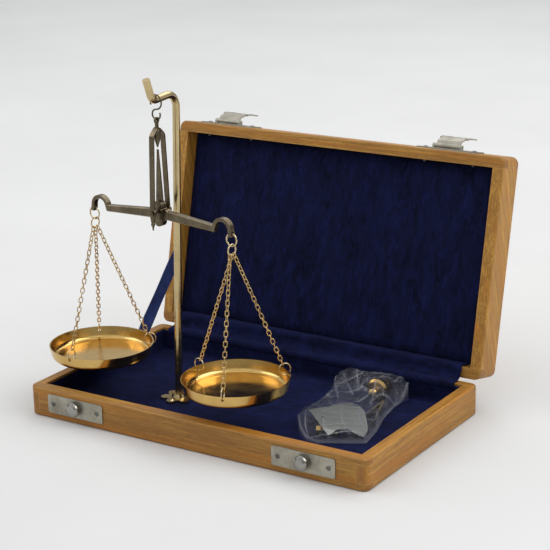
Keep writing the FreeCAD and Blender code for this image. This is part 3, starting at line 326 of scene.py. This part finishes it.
BRASS = (0.68, 0.455, 0.155)
BRASS_DULL = (0.40, 0.24, 0.07)
for side in ("left", "right"):
    low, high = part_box(side + "_pan")
    centre = (low + high) / 2
    assign(spun_metal(side + "_pan_brass", centre, BRASS, BRASS_DULL, (0.12, 0.25)), side + "_pan")
post_brass = metal("post_brass", (0.58, 0.455, 0.24), (0.33, 0.235, 0.11), (0.14, 0.30), 0.4)
assign(post_brass, "post", "foot_plate", "foot_screws")
weight_brass = metal("weight_brass", (0.50, 0.33, 0.12), (0.20, 0.11, 0.04), (0.14, 0.30), 0.5)
assign(weight_brass, "large_knob_weight", "small_knob_weights")
chain_brass = metal("chain_brass", (0.64, 0.46, 0.21), (0.30, 0.19, 0.08), (0.18, 0.34), 0.6)
assign(chain_brass, *(side + part for side in ("left", "right")
                      for part in ("_front_chain", "_back_chain", "_side_chain")))
ring_brass = metal("ring_brass", (0.70, 0.58, 0.36), (0.30, 0.20, 0.10), (0.16, 0.30), 0.45)
assign(ring_brass, *both("beam_ring"), *both("chain_ring"), *both("pan_rings"))
bronze = metal("bronze", (0.160, 0.130, 0.085), (0.060, 0.048, 0.034), (0.22, 0.42), 0.7,
               wear=(0.58, 0.44, 0.24))
assign(bronze, "beam", "shears", "s_hook", "beam_pivot")
steel = metal("steel", (0.42, 0.41, 0.38), (0.18, 0.16, 0.13), (0.25, 0.5), 0.5,
              wear=(0.62, 0.60, 0.56))
assign(steel, "tweezers", *both("hinge_base_leaf"), *both("hinge_lid_leaf"),
       *both("hinge_pin"), "hinge_base_screws", "hinge_lid_screws")
nickel = metal("nickel", (0.44, 0.415, 0.345), (0.20, 0.185, 0.14), (0.36, 0.60), 0.6,
               wear=(0.60, 0.60, 0.55))
assign(nickel, *both("catch_plate"), *both("latch_plate"), *both("hasp"), *both("latch_pin"))
polished = metal("polished_nickel", (0.36, 0.35, 0.32), (0.12, 0.115, 0.10), (0.14, 0.28), 0.5)
assign(polished, *both("catch_stud"))
nail_steel = metal("nail_steel", (0.17, 0.165, 0.15), (0.07, 0.065, 0.06), (0.35, 0.6), 0.5)
assign(nail_steel, "catch_nails", "latch_nails")


# ------------------------------------------------------------------ mesh helpers

def grid_faces(rows, columns):
    """The four-sided faces of a grid whose points are numbered row by row."""
    faces = []
    for i in range(rows - 1):
        for j in range(columns - 1):
            a = i * columns + j
            faces.append((a, a + 1, a + columns + 1, a + columns))
    return faces


def grid_rim(rows, columns):
    """The numbers of a grid's outer points, once round it."""
    return ([j for j in range(columns)] + [i * columns + columns - 1 for i in range(1, rows)]
            + [(rows - 1) * columns + j for j in range(columns - 2, -1, -1)]
            + [i * columns for i in range(rows - 2, 0, -1)])


def closed_faces(rows, columns):
    """The faces of two grids, one numbered after the other, joined round their rims."""
    count = rows * columns
    faces = []
    for a, b, c, d in grid_faces(rows, columns):
        faces.append((a, b, c, d))
        faces.append((count + a, count + d, count + c, count + b))
    rim = grid_rim(rows, columns)
    for a, b in zip(rim, rim[1:] + rim[:1]):
        faces.append((a, count + a, count + b, b))
    return faces


def grid_object(name, points, material, thickness=0.0):
    """A mesh from a grid of points (rows, columns, 3), in metres, smooth shaded."""
    return mesh_object(name, points.reshape(-1, 3), grid_faces(*points.shape[:2]), material, thickness)


def mesh_object(name, points, faces, material, thickness=0.0):
    data = bpy.data.meshes.new(name)
    data.from_pydata([tuple(p) for p in points], [], faces)
    data.materials.append(material)
    data.shade_smooth()
    made = bpy.data.objects.new(name, data)
    bpy.context.scene.collection.objects.link(made)
    if thickness:
        shell = made.modifiers.new("thickness", "SOLIDIFY")
        shell.thickness = thickness
        shell.offset = 0.0
        apply_modifiers(made)
    return made


def apply_modifiers(made):
    """Turns the object's mesh into what its modifiers show, and drops them."""
    graph = bpy.context.evaluated_depsgraph_get()
    final = bpy.data.meshes.new_from_object(made.evaluated_get(graph))
    made.modifiers.clear()
    made.data = final


def waves(x, y, seed, shortest, longest, count=14):
    """A smooth random height in about -1 to 1, from waves between two lengths."""
    source = np.random.default_rng(seed)
    total = np.zeros_like(x)
    for _ in range(count):
        length = np.exp(source.uniform(np.log(shortest), np.log(longest)))
        angle = source.uniform(0, 2 * np.pi)
        phase = source.uniform(0, 2 * np.pi)
        total += np.sin((x * np.cos(angle) + y * np.sin(angle)) * 2 * np.pi / length + phase)
    return total / math.sqrt(count)


# ------------------------------------------------------------------ velvet

velvet_floor = velvet("velvet_floor", (60, 110, 90))
velvet_lid = velvet("velvet_lid", (140, 50, 50))

# The lining of the base: one sheet over the floor and up the four walls.
lining_low, lining_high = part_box("base_velvet_lining")
FLOOR_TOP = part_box("foot_plate")[0].z
LINING = 1.1 * MM
inner_x = lining_high.x - LINING
inner_y = lining_high.y - LINING
lining_top = lining_high.z
# (inset from the wall's face, height) from the floor's edge up and over the lining's top edge
wall_steps = [(0.9 * MM, FLOOR_TOP + 0.15 * MM), (0.25 * MM, FLOOR_TOP + 0.8 * MM),
              (0.0, FLOOR_TOP + 2.0 * MM), (0.0, FLOOR_TOP + 5.0 * MM), (0.0, FLOOR_TOP + 8.0 * MM),
              (0.0, lining_top - 1.0 * MM), (-0.25 * MM, lining_top - 0.4 * MM),
              (-0.75 * MM, lining_top - 0.15 * MM)]
columns, rows = 150, 84
edge_inset = 1.8 * MM
xs = np.linspace(-inner_x + edge_inset, inner_x - edge_inset, columns)
ys = np.linspace(-inner_y + edge_inset, inner_y - edge_inset, rows)
X, Y = np.meshgrid(xs, ys)
ripple = waves(X, Y, 3, 0.012, 0.06) * 0.16 * MM - 0.25 * MM
post_x, post_y = -43.5 * MM, -11.1 * MM
near_foot = np.exp(-(((X - post_x) ** 2 + (Y - post_y) ** 2) / (14 * MM) ** 2))
ripple = ripple * (1 - near_foot) - 0.3 * MM * near_foot
floor_points = np.stack([X, Y, FLOOR_TOP + ripple], axis=-1)
points = [tuple(p) for p in floor_points.reshape(-1, 3)]
faces = grid_faces(rows, columns)
loop = grid_rim(rows, columns)
previous = loop
for step, (inset, height) in enumerate(wall_steps):
    current = []
    for index in loop:
        x, y, _ = points[index]
        on_x = abs(abs(x) - (inner_x - edge_inset)) < 1e-9
        on_y = abs(abs(y) - (inner_y - edge_inset)) < 1e-9
        wobble = 0.12 * MM * math.sin(x * 310 + step) * math.sin(y * 290 + 1.3 * step)
        nx = math.copysign(inner_x - inset, x) if on_x else x
        ny = math.copysign(inner_y - inset, y) if on_y else y
        current.append(len(points))
        points.append((nx, ny, height + wobble))
    count = len(loop)
    for k in range(count):
        faces.append((previous[k], current[k], current[(k + 1) % count], previous[(k + 1) % count]))
    previous = current
base_velvet = mesh_object("base_velvet", points, [f[::-1] for f in faces], velvet_floor, 0.35 * MM)
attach(base_velvet, "case_base")
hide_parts("base_velvet_lining")

# The lid's panel: velvet over a thin pad.
def lid_place(x, u, w):
    """A point of the open lid: x along it, u up from the hinge, w back from its rim."""
    return LID_HINGE + Vector((x, 0, 0)) + LID_UP * u + LID_BACK * w


PANEL_FRONT = 9.4 * MM
PANEL_X = 103.2 * MM
PANEL_LOW, PANEL_HIGH = 7.8 * MM, 120.2 * MM
PANEL_BACK = 14.0 * MM
PANEL_INSET = 0.9 * MM


def lid_pad(name, columns, rows):
    """A closed pad of lid_place points: a flat front, and a flat back on the lid's board."""
    xs = np.linspace(-PANEL_X, PANEL_X, columns)
    us = np.linspace(PANEL_LOW, PANEL_HIGH, rows)
    points = []
    for front in (True, False):
        for u in us:
            for x in xs:
                points.append(lid_place(x, u, PANEL_FRONT + PANEL_INSET if front else PANEL_BACK))
    return mesh_object(name, points, closed_faces(rows, columns), velvet_lid)


PAD_COLUMNS, PAD_ROWS = 104, 57
lid_velvet = lid_pad("lid_velvet", PAD_COLUMNS, PAD_ROWS)
rest = np.array([v.co for v in lid_velvet.data.vertices])
front_count = PAD_COLUMNS * PAD_ROWS
held = lid_velvet.vertex_groups.new(name="held")
column_of = np.arange(front_count) % PAD_COLUMNS
row_of = np.arange(front_count) // PAD_COLUMNS
border = (column_of == 0) | (column_of == PAD_COLUMNS - 1) | (row_of == 0) | (row_of == PAD_ROWS - 1)
fixed = [int(i) for i in np.nonzero(border)[0]] + list(range(front_count, 2 * front_count))
held.add(fixed, 1.0, "REPLACE")
# The cloth is grown a little and blown up against its nailed edges; sizes are in decimetres
# while it runs, because the solver is steadier there.
GROW = 10.0
CLOTH_FRAMES = 20
lid_velvet.data.transform(Matrix.Scale(GROW, 4))
cloth = lid_velvet.modifiers.new("cloth", "CLOTH")
settings = cloth.settings
settings.quality = 6
settings.mass = 0.25
settings.tension_stiffness = 18
settings.compression_stiffness = 18
settings.shear_stiffness = 8
settings.bending_stiffness = 0.6
settings.shrink_min = -0.012
settings.use_pressure = True
settings.uniform_pressure_force = 3.0
settings.vertex_group_mass = "held"
settings.effector_weights.gravity = 0.0
cloth.collision_settings.use_collision = False
scene = bpy.context.scene
scene.frame_start, scene.frame_end = 1, CLOTH_FRAMES
for number in range(1, CLOTH_FRAMES + 1):
    scene.frame_set(number)
apply_modifiers(lid_velvet)
lid_velvet.data.transform(Matrix.Scale(1 / GROW, 4))
moved = np.array([v.co for v in lid_velvet.data.vertices])
shift = moved - rest
toward = -(shift @ np.array(LID_BACK))
# The simulated swell is several times the cap, so nearly every point inside the border ends at it:
# what shows is an even crown with the waves below.
cap = 0.9 * MM
crown = np.clip(toward, -cap * 0.3, cap)
crown[front_count:] = 0.0
flat_x = rest[:, 0]
flat_u = (rest - np.array(LID_HINGE)) @ np.array(LID_UP)
soft = waves(flat_x, flat_u, 8, 0.014, 0.07) * 0.16 * MM
soft[front_count:] = 0.0
inside = np.minimum(PANEL_X - np.abs(flat_x), np.minimum(flat_u - PANEL_LOW, PANEL_HIGH - flat_u))
lift = np.clip(inside / (6 * MM), 0, 1) ** 0.5
final = rest - np.outer((crown + PANEL_INSET + soft) * lift * (np.arange(len(rest)) < front_count),
                        np.array(LID_BACK))
lid_velvet.data.vertices.foreach_set("co", final.astype(np.float32).ravel())
lid_velvet.data.shade_smooth()
lid_velvet.data.update()
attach(lid_velvet, "case_lid")
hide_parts("lid_velvet_panel", "lid_padding")

# The strip that carries the velvet over the hinge line, from the base's lining to the lid's panel.
STRIP_REACH = 98.5 * MM
rim = 17.4 * MM
path = [Vector((0, 55.1 * MM, 14.6 * MM)), Vector((0, 55.25 * MM, 16.9 * MM)),
        Vector((0, 56.2 * MM, rim + 0.45 * MM)), Vector((0, 59.0 * MM, rim + 0.5 * MM)),
        Vector((0, 61.3 * MM, rim + 0.6 * MM)), Vector((0, 62.3 * MM, rim + 1.2 * MM)),
        Vector((0, 63.1 * MM, rim + 2.0 * MM))]
path += [lid_place(0, u * MM, w * MM) for u, w in (
    (3.6, -0.75), (6.2, -0.75), (7.9, -0.2), (8.15, 2.2), (8.1, 5.5), (8.3, 8.9))]


def smooth_path(corners, count):
    """Catmull-Rom through the corners, count points evenly along it."""
    pts = [corners[0] * 2 - corners[1]] + list(corners) + [corners[-1] * 2 - corners[-2]]
    fine = []
    for a, b, c, d in zip(pts, pts[1:], pts[2:], pts[3:]):
        for t in np.linspace(0, 1, 12, endpoint=False):
            fine.append(0.5 * ((2 * b) + (c - a) * t + (2 * a - 5 * b + 4 * c - d) * t * t
                               + (3 * b - a - 3 * c + d) * t ** 3))
    fine.append(corners[-1])
    fine = np.array([tuple(p) for p in fine])
    along = np.concatenate([[0], np.cumsum(np.linalg.norm(np.diff(fine, axis=0), axis=1))])
    at = np.linspace(0, along[-1], count)
    return np.stack([np.interp(at, along, fine[:, k]) for k in range(3)], axis=1), along[-1]


strip_line, strip_length = smooth_path(path, 34)
tangent = np.gradient(strip_line, axis=0)
tangent /= np.linalg.norm(tangent, axis=1)[:, None]
outward = np.stack([np.zeros(len(tangent)), -tangent[:, 2], tangent[:, 1]], axis=1)
strip_xs = np.linspace(-STRIP_REACH, STRIP_REACH, 190)
SX, ST = np.meshgrid(strip_xs, np.linspace(0, 1, len(strip_line)))
middle_bulge = np.exp(-((ST - 0.5) / 0.13) ** 2)
pucker = waves(SX, ST * 0.02, 21, 0.007, 0.05) * 0.22 * MM * (0.3 + middle_bulge)
frayed = 1 + 0.5 * waves(SX, ST * 0.02, 33, 0.0025, 0.008)
end_curl = np.exp(-((SX + STRIP_REACH) / (6 * MM)) ** 2) * middle_bulge * 2.4 * MM * frayed
strip_points = (strip_line[:, None, :] + outward[:, None, :] * (pucker + end_curl)[..., None])
strip_points[..., 0] = SX + waves(SX, ST * 0.05, 5, 0.004, 0.02) * 0.0002
hinge_strip = grid_object("hinge_strip", strip_points, velvet_floor, 0.4 * MM)
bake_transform(hinge_strip)
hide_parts("hinge_velvet")


# ------------------------------------------------------------------ ribbon

def satin(name):
    s = Shader(name)
    weave = s.noise(s.mapped(s.place(), scale=(9000, 1400, 1400)), 1.0, 2.0, 0.5)
    cloudy = s.noise(s.place(), 130.0, 3.0, 0.5)
    base = s.mix(s.ramp(cloudy, (0.35, 0.0), (0.7, 1.0)), (0.010, 0.022, 0.10), (0.022, 0.045, 0.19))
    s.set(Base_Color=base, Normal=s.bump(weave, 0.25, 0.00008))
    s.surface.inputs["Roughness"].default_value = 0.38
    s.surface.inputs["Anisotropic"].default_value = 0.4
    s.surface.inputs["Sheen Weight"].default_value = 0.25
    return s.material


ribbon_low, ribbon_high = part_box("lid_ribbon")
ribbon_x = (ribbon_low.x + ribbon_high.x) / 2
ribbon_path = [Vector((ribbon_x + dx * MM, y * MM, z * MM)) for dx, y, z in (
    (0.0, 26.6, 14.4), (0.3, 32.0, 20.6), (0.5, 43.0, 32.6), (0.3, 57.0, 46.8), (0.0, 72.4, 62.6))]
ribbon_line, ribbon_length = smooth_path(ribbon_path, 60)
run = np.gradient(ribbon_line, axis=0)
run /= np.linalg.norm(run, axis=1)[:, None]
level = np.array([1.0, 0.0, 0.0])
width_axis = np.cross(run, level)
width_axis /= np.linalg.norm(width_axis, axis=1)[:, None]
RIBBON_WIDTH = 8.3 * MM
across = np.linspace(-0.5, 0.5, 13)
share = np.linspace(0, 1, len(ribbon_line))
twist = np.radians(18) * np.sin(share * np.pi) + np.radians(6) * np.sin(share * 9.0)
ribbon_points = np.zeros((len(ribbon_line), len(across), 3))
for i, (centre, wide) in enumerate(zip(ribbon_line, width_axis)):
    turned = wide * math.cos(twist[i]) + level * math.sin(twist[i])
    cup = (across ** 2 - 0.08) * 1.6 * MM
    for j, a in enumerate(across):
        ribbon_points[i, j] = centre + turned * a * RIBBON_WIDTH + level * cup[j]
ribbon = grid_object("ribbon", ribbon_points, satin("ribbon_satin"), 0.22 * MM)
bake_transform(ribbon)
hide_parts("lid_ribbon")


# ------------------------------------------------------------------ pouch of weights

# The pouch's left and right edges seen from above, as (y, x) pairs in millimetres, front to back.
LEFT_EDGE = ((-30, 53), (-23, 45.5), (-13, 38), (-4, 32), (10, 30.5), (27, 28.5), (42, 26.3), (53, 23.5))
RIGHT_EDGE = ((-30, 60), (-21.6, 76), (-17, 83.5), (-1, 80.5), (20, 74), (37, 71), (53, 72))
POUCH_FRONT, POUCH_REAR = -30 * MM, 51.2 * MM
POUCH_FLOOR = FLOOR_TOP + 0.06 * MM


def folds(x, y, seed, count, shortest, longest, sharp):
    """Straight folds of thin film: (height about -1 to 1, nearness to a fold line from 0 to 1)."""
    source = np.random.default_rng(seed)
    height = np.zeros_like(x)
    fold_milk_and_glint = np.zeros_like(x)
    for _ in range(count):
        length = source.uniform(shortest, longest)
        angle = source.normal(math.radians(70), math.radians(38))
        phase = source.uniform(0, 1)
        bend = 0.12 * np.sin((x * math.sin(angle) - y * math.cos(angle)) / 0.011 + phase * 7)
        t = (x * math.cos(angle) + y * math.sin(angle)) / length + phase + bend
        saw = np.abs((t % 1.0) * 2 - 1)
        height += (saw * 2 - 1)
        line = np.minimum(saw, 1 - saw) * length / 2
        strength = np.clip(np.sin((x * math.sin(angle) - y * math.cos(angle)) / 0.014 + phase * 20), 0, 1)
        fold_milk_and_glint = np.maximum(fold_milk_and_glint, np.exp(-(line / sharp) ** 2) * strength)
    return height / math.sqrt(count), fold_milk_and_glint


def swell(x, y, middle, reach):
    """1 over a point and falling to 0 beyond its reach; all in millimetres."""
    return np.exp(-(np.abs((x / MM - middle[0]) / reach[0]) ** 4
                    + np.abs((y / MM - middle[1]) / reach[1]) ** 4))


def pouch_height(x, y):
    """Height of the film's top over the pouch's floor, in metres, without its folds."""
    large = 12.8 * swell(x, y, (57.5, 41.0), (10.0, 11.5))
    small = 4.8 * swell(x, y, (52.5, -11.0), (9.0, 13.0))
    plateau = 4.8 * swell(x, y, (57.0, -3.0), (26.0, 25.0))
    rear = 10.6 * np.clip((y / MM - 36) / 14, 0, 1) ** 1.5 * np.clip((x / MM - 16) / 18, 0.3, 1)
    return (2.4 + np.maximum(np.maximum(large, rear), np.maximum(small, plateau))) * MM


def film(name, tint, clear, milk_and_glint_alpha, cloud):
    """Thin clear film: nearly clear between its folds and milky along them, where the same mask also
    carries painted glints as more opaque film.
    """
    s = Shader(name)
    # The folds' attribute: milky creases and painted glints, both drawn as more opaque film.
    fold_milk_and_glint = s.node("ShaderNodeAttribute", attribute_name="fold_milk_and_glint").outputs["Fac"]
    cloudy = s.noise(s.place(), 240.0, 4.0, 0.6, 0.8)
    veil = s.math("MULTIPLY", s.ramp(cloudy, (0.42, 0.0), (0.70, 1.0)), cloud)
    alpha = s.math("ADD", s.math("ADD", s.math("MULTIPLY", fold_milk_and_glint, milk_and_glint_alpha), veil), clear, clamp=True)
    fine = s.noise(s.place(), 900.0, 3.0, 0.6)
    s.set(Alpha=alpha, Normal=s.bump(fine, 0.25, 0.0002))
    s.surface.inputs["Base Color"].default_value = (*tint, 1.0)
    s.surface.inputs["Roughness"].default_value = 0.10
    s.surface.inputs["Specular IOR Level"].default_value = 0.5
    s.surface.inputs["Coat Weight"].default_value = 0.35
    s.surface.inputs["Coat Roughness"].default_value = 0.08
    return s.material


clear_film = film("clear_film", (0.36, 0.37, 0.42), 0.045, 0.50, 0.10)
milky_film = film("milky_film", (0.225, 0.235, 0.215), 0.88, 0.12, 0.10)

cols, lines = 84, 140
SHARE, PY = np.meshgrid(np.linspace(0, 1, cols), np.linspace(POUCH_FRONT, POUCH_REAR, lines))
left_x = np.interp(PY / MM, *zip(*LEFT_EDGE)) * MM
right_x = np.interp(PY / MM, *zip(*RIGHT_EDGE)) * MM
PX = left_x + (right_x - left_x) * SHARE
height, fold_milk_and_glint = folds(PX - 60 * MM, PY, 5, 7, 0.010, 0.034, 0.00028)
from_side = np.minimum(PX - left_x, right_x - PX)
from_end = PY - POUCH_FRONT + 0.3 * MM
inner = np.clip(np.minimum(from_side / (3 * MM), from_end / (3 * MM)), 0, 1)
# The mouth gapes along the front's left edge, so the film doesn't close down to the floor there.
gape = np.clip((-4 * MM - PY) / (6 * MM), 0, 1) * np.clip(1 - SHARE * 1.3, 0, 1)
closed = np.maximum(inner ** 0.5, np.maximum(gape, 0.8 * np.clip((PY - 42 * MM) / (9 * MM), 0, 1)))
top = np.clip((pouch_height(PX, PY) + height * 0.75 * MM * inner) * closed, 0.5 * MM, None)
bottom = (0.15 + 0.12 * (1 + height)) * MM
bottom = np.clip(bottom, 0.05 * MM, 0.45 * MM)
layers = []
for surface in (top, bottom):
    layers.append(np.stack([PX, PY, POUCH_FLOOR + surface], axis=-1))
points = np.concatenate([layers[0].reshape(-1, 3), layers[1].reshape(-1, 3)])
pouch = mesh_object("pouch", points, closed_faces(lines, cols), clear_film)
# Painted highlights along the film's edges, added to its milky folds and painted glints; faint on the
# underside.
edge_glint = 1 - inner.reshape(-1)
film_milk_and_glint = np.concatenate([np.maximum(fold_milk_and_glint.reshape(-1), 0.8 * np.clip(edge_glint - 0.55, 0, 1) * 2),
                          0.3 * fold_milk_and_glint.reshape(-1)])
attribute = pouch.data.attributes.new("fold_milk_and_glint", "FLOAT", "POINT")
attribute.data.foreach_set("value", film_milk_and_glint.astype(np.float32))
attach(pouch, "pouch_body")
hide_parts("weight_pouch")

# The milky flap inside it: its lower and upper edges seen from above, from its left tip to its
# right corner, as (x, y) pairs in millimetres.
FLAP_LOWER = [(38, -2), (46, -9.2), (57, -19.5), (65, -25.5), (66.5, -19.5), (70.4, -15.5),
              (78, -17.5), (83, -16.5)]
FLAP_UPPER = [(38, -1), (45.3, 6.1), (48, 14.8), (48.5, 26), (54.6, 23.9), (67.2, 9.8), (78, -5.9),
              (83, -15.5)]


def edge_at(edge, t):
    return np.array([np.interp(t, np.linspace(0, 1, len(edge)), [p[k] for p in edge]) for k in (0, 1)]) * MM


flap_rows, flap_cols = 60, 44
flap_points = np.zeros((flap_rows, flap_cols, 3))
flap_milk_and_glint = np.zeros((flap_rows, flap_cols))
for i in range(flap_rows):
    t = i / (flap_rows - 1)
    lower, upper = edge_at(FLAP_LOWER, t), edge_at(FLAP_UPPER, t)
    for j in range(flap_cols):
        a = j / (flap_cols - 1)
        x, y = lower + (upper - lower) * a
        x = min(x, np.interp(y / MM, *zip(*RIGHT_EDGE)) * MM - 2.0 * MM)
        over, flap_fold_milk_and_glint = folds(np.array([x]), np.array([y]), 9, 2, 0.018, 0.040, 0.0005)
        roof = float(pouch_height(x, y)) - 0.8 * MM
        droop = 2.6 * MM * max(0.0, (t - 0.8) / 0.2)
        rise = min(5.9 * MM + 0.7 * MM * math.sin(a * math.pi) + 0.25 * MM * over[0] - droop, roof)
        flap_points[i, j] = (x, y, POUCH_FLOOR + max(rise, 0.9 * MM))
        # Milky folds with painted glints, and painted highlights along the flap's upper edge towards its
        # right corner and along its lower edge.
        flap_milk_and_glint[i, j] = max(0.5 * flap_fold_milk_and_glint[0], 1.0 * (t > 0.6) * (a > 0.90), 0.6 * (a < 0.03))
flap = grid_object("pouch_flap", flap_points, milky_film)
attribute = flap.data.attributes.new("fold_milk_and_glint", "FLOAT", "POINT")
attribute.data.foreach_set("value", flap_milk_and_glint.reshape(-1).astype(np.float32))
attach(flap, "pouch_body")


# ------------------------------------------------------------------ floor, backdrop and light

def floor_material():
    s = Shader("floor_paper")
    soft_shade = s.noise(s.place(), 6.0, 3.0, 0.5)
    s.set(Base_Color=s.ramp(soft_shade, (0.3, (0.64, 0.64, 0.632)), (0.7, (0.675, 0.675, 0.668))))
    s.surface.inputs["Roughness"].default_value = 0.8
    s.surface.inputs["Specular IOR Level"].default_value = 0.2
    return s.material


FLOOR = 8.0
FLOOR_HEIGHT = -0.2 * MM
floor_corners = [(x * FLOOR, y * FLOOR, FLOOR_HEIGHT) for x, y in ((-1, -1), (1, -1), (1, 1), (-1, 1))]
floor_data = bpy.data.meshes.new("floor")
floor_data.from_pydata(floor_corners, [], [(0, 1, 2, 3)])
floor_data.materials.append(floor_material())
floor = bpy.data.objects.new("floor", floor_data)
bpy.context.scene.collection.objects.link(floor)

world = bpy.data.worlds.new("studio")
bpy.context.scene.world = world
world.use_nodes = True
tree = world.node_tree
background = tree.nodes["Background"]
sky = tree.nodes.new("ShaderNodeTexCoord")
split = tree.nodes.new("ShaderNodeSeparateXYZ")
tree.links.new(sky.outputs["Generated"], split.inputs[0])
band = tree.nodes.new("ShaderNodeValToRGB")
band.color_ramp.elements[0].position = 0.0
band.color_ramp.elements[0].color = (0.26, 0.265, 0.27, 1)
band.color_ramp.elements[1].position = 0.7
band.color_ramp.elements[1].color = (0.95, 0.96, 0.98, 1)
tree.links.new(split.outputs["Z"], band.inputs["Fac"])
tree.links.new(band.outputs["Color"], background.inputs["Color"])
background.inputs["Strength"].default_value = 0.95


def area_light(name, place, aim, size, power, colour=(1, 1, 1)):
    data = bpy.data.lights.new(name, "AREA")
    data.shape = "RECTANGLE"
    data.size, data.size_y = size
    data.energy = power
    data.color = colour
    lamp = bpy.data.objects.new(name, data)
    lamp.location = place
    lamp.rotation_mode = "QUATERNION"
    lamp.rotation_quaternion = (Vector(aim) - Vector(place)).to_track_quat("-Z", "Y")
    bpy.context.scene.collection.objects.link(lamp)


area_light("key", (1.0, 0.45, 1.25), (0, 0, 0.05), (1.3, 1.1), 11.0, (1.0, 0.99, 0.97))
area_light("side", (-1.1, -0.5, 1.0), (0, 0, 0.06), (1.0, 0.9), 5.0)
area_light("rear", (-0.2, 1.3, 1.3), (0, 0, 0.05), (1.5, 0.8), 6.0)
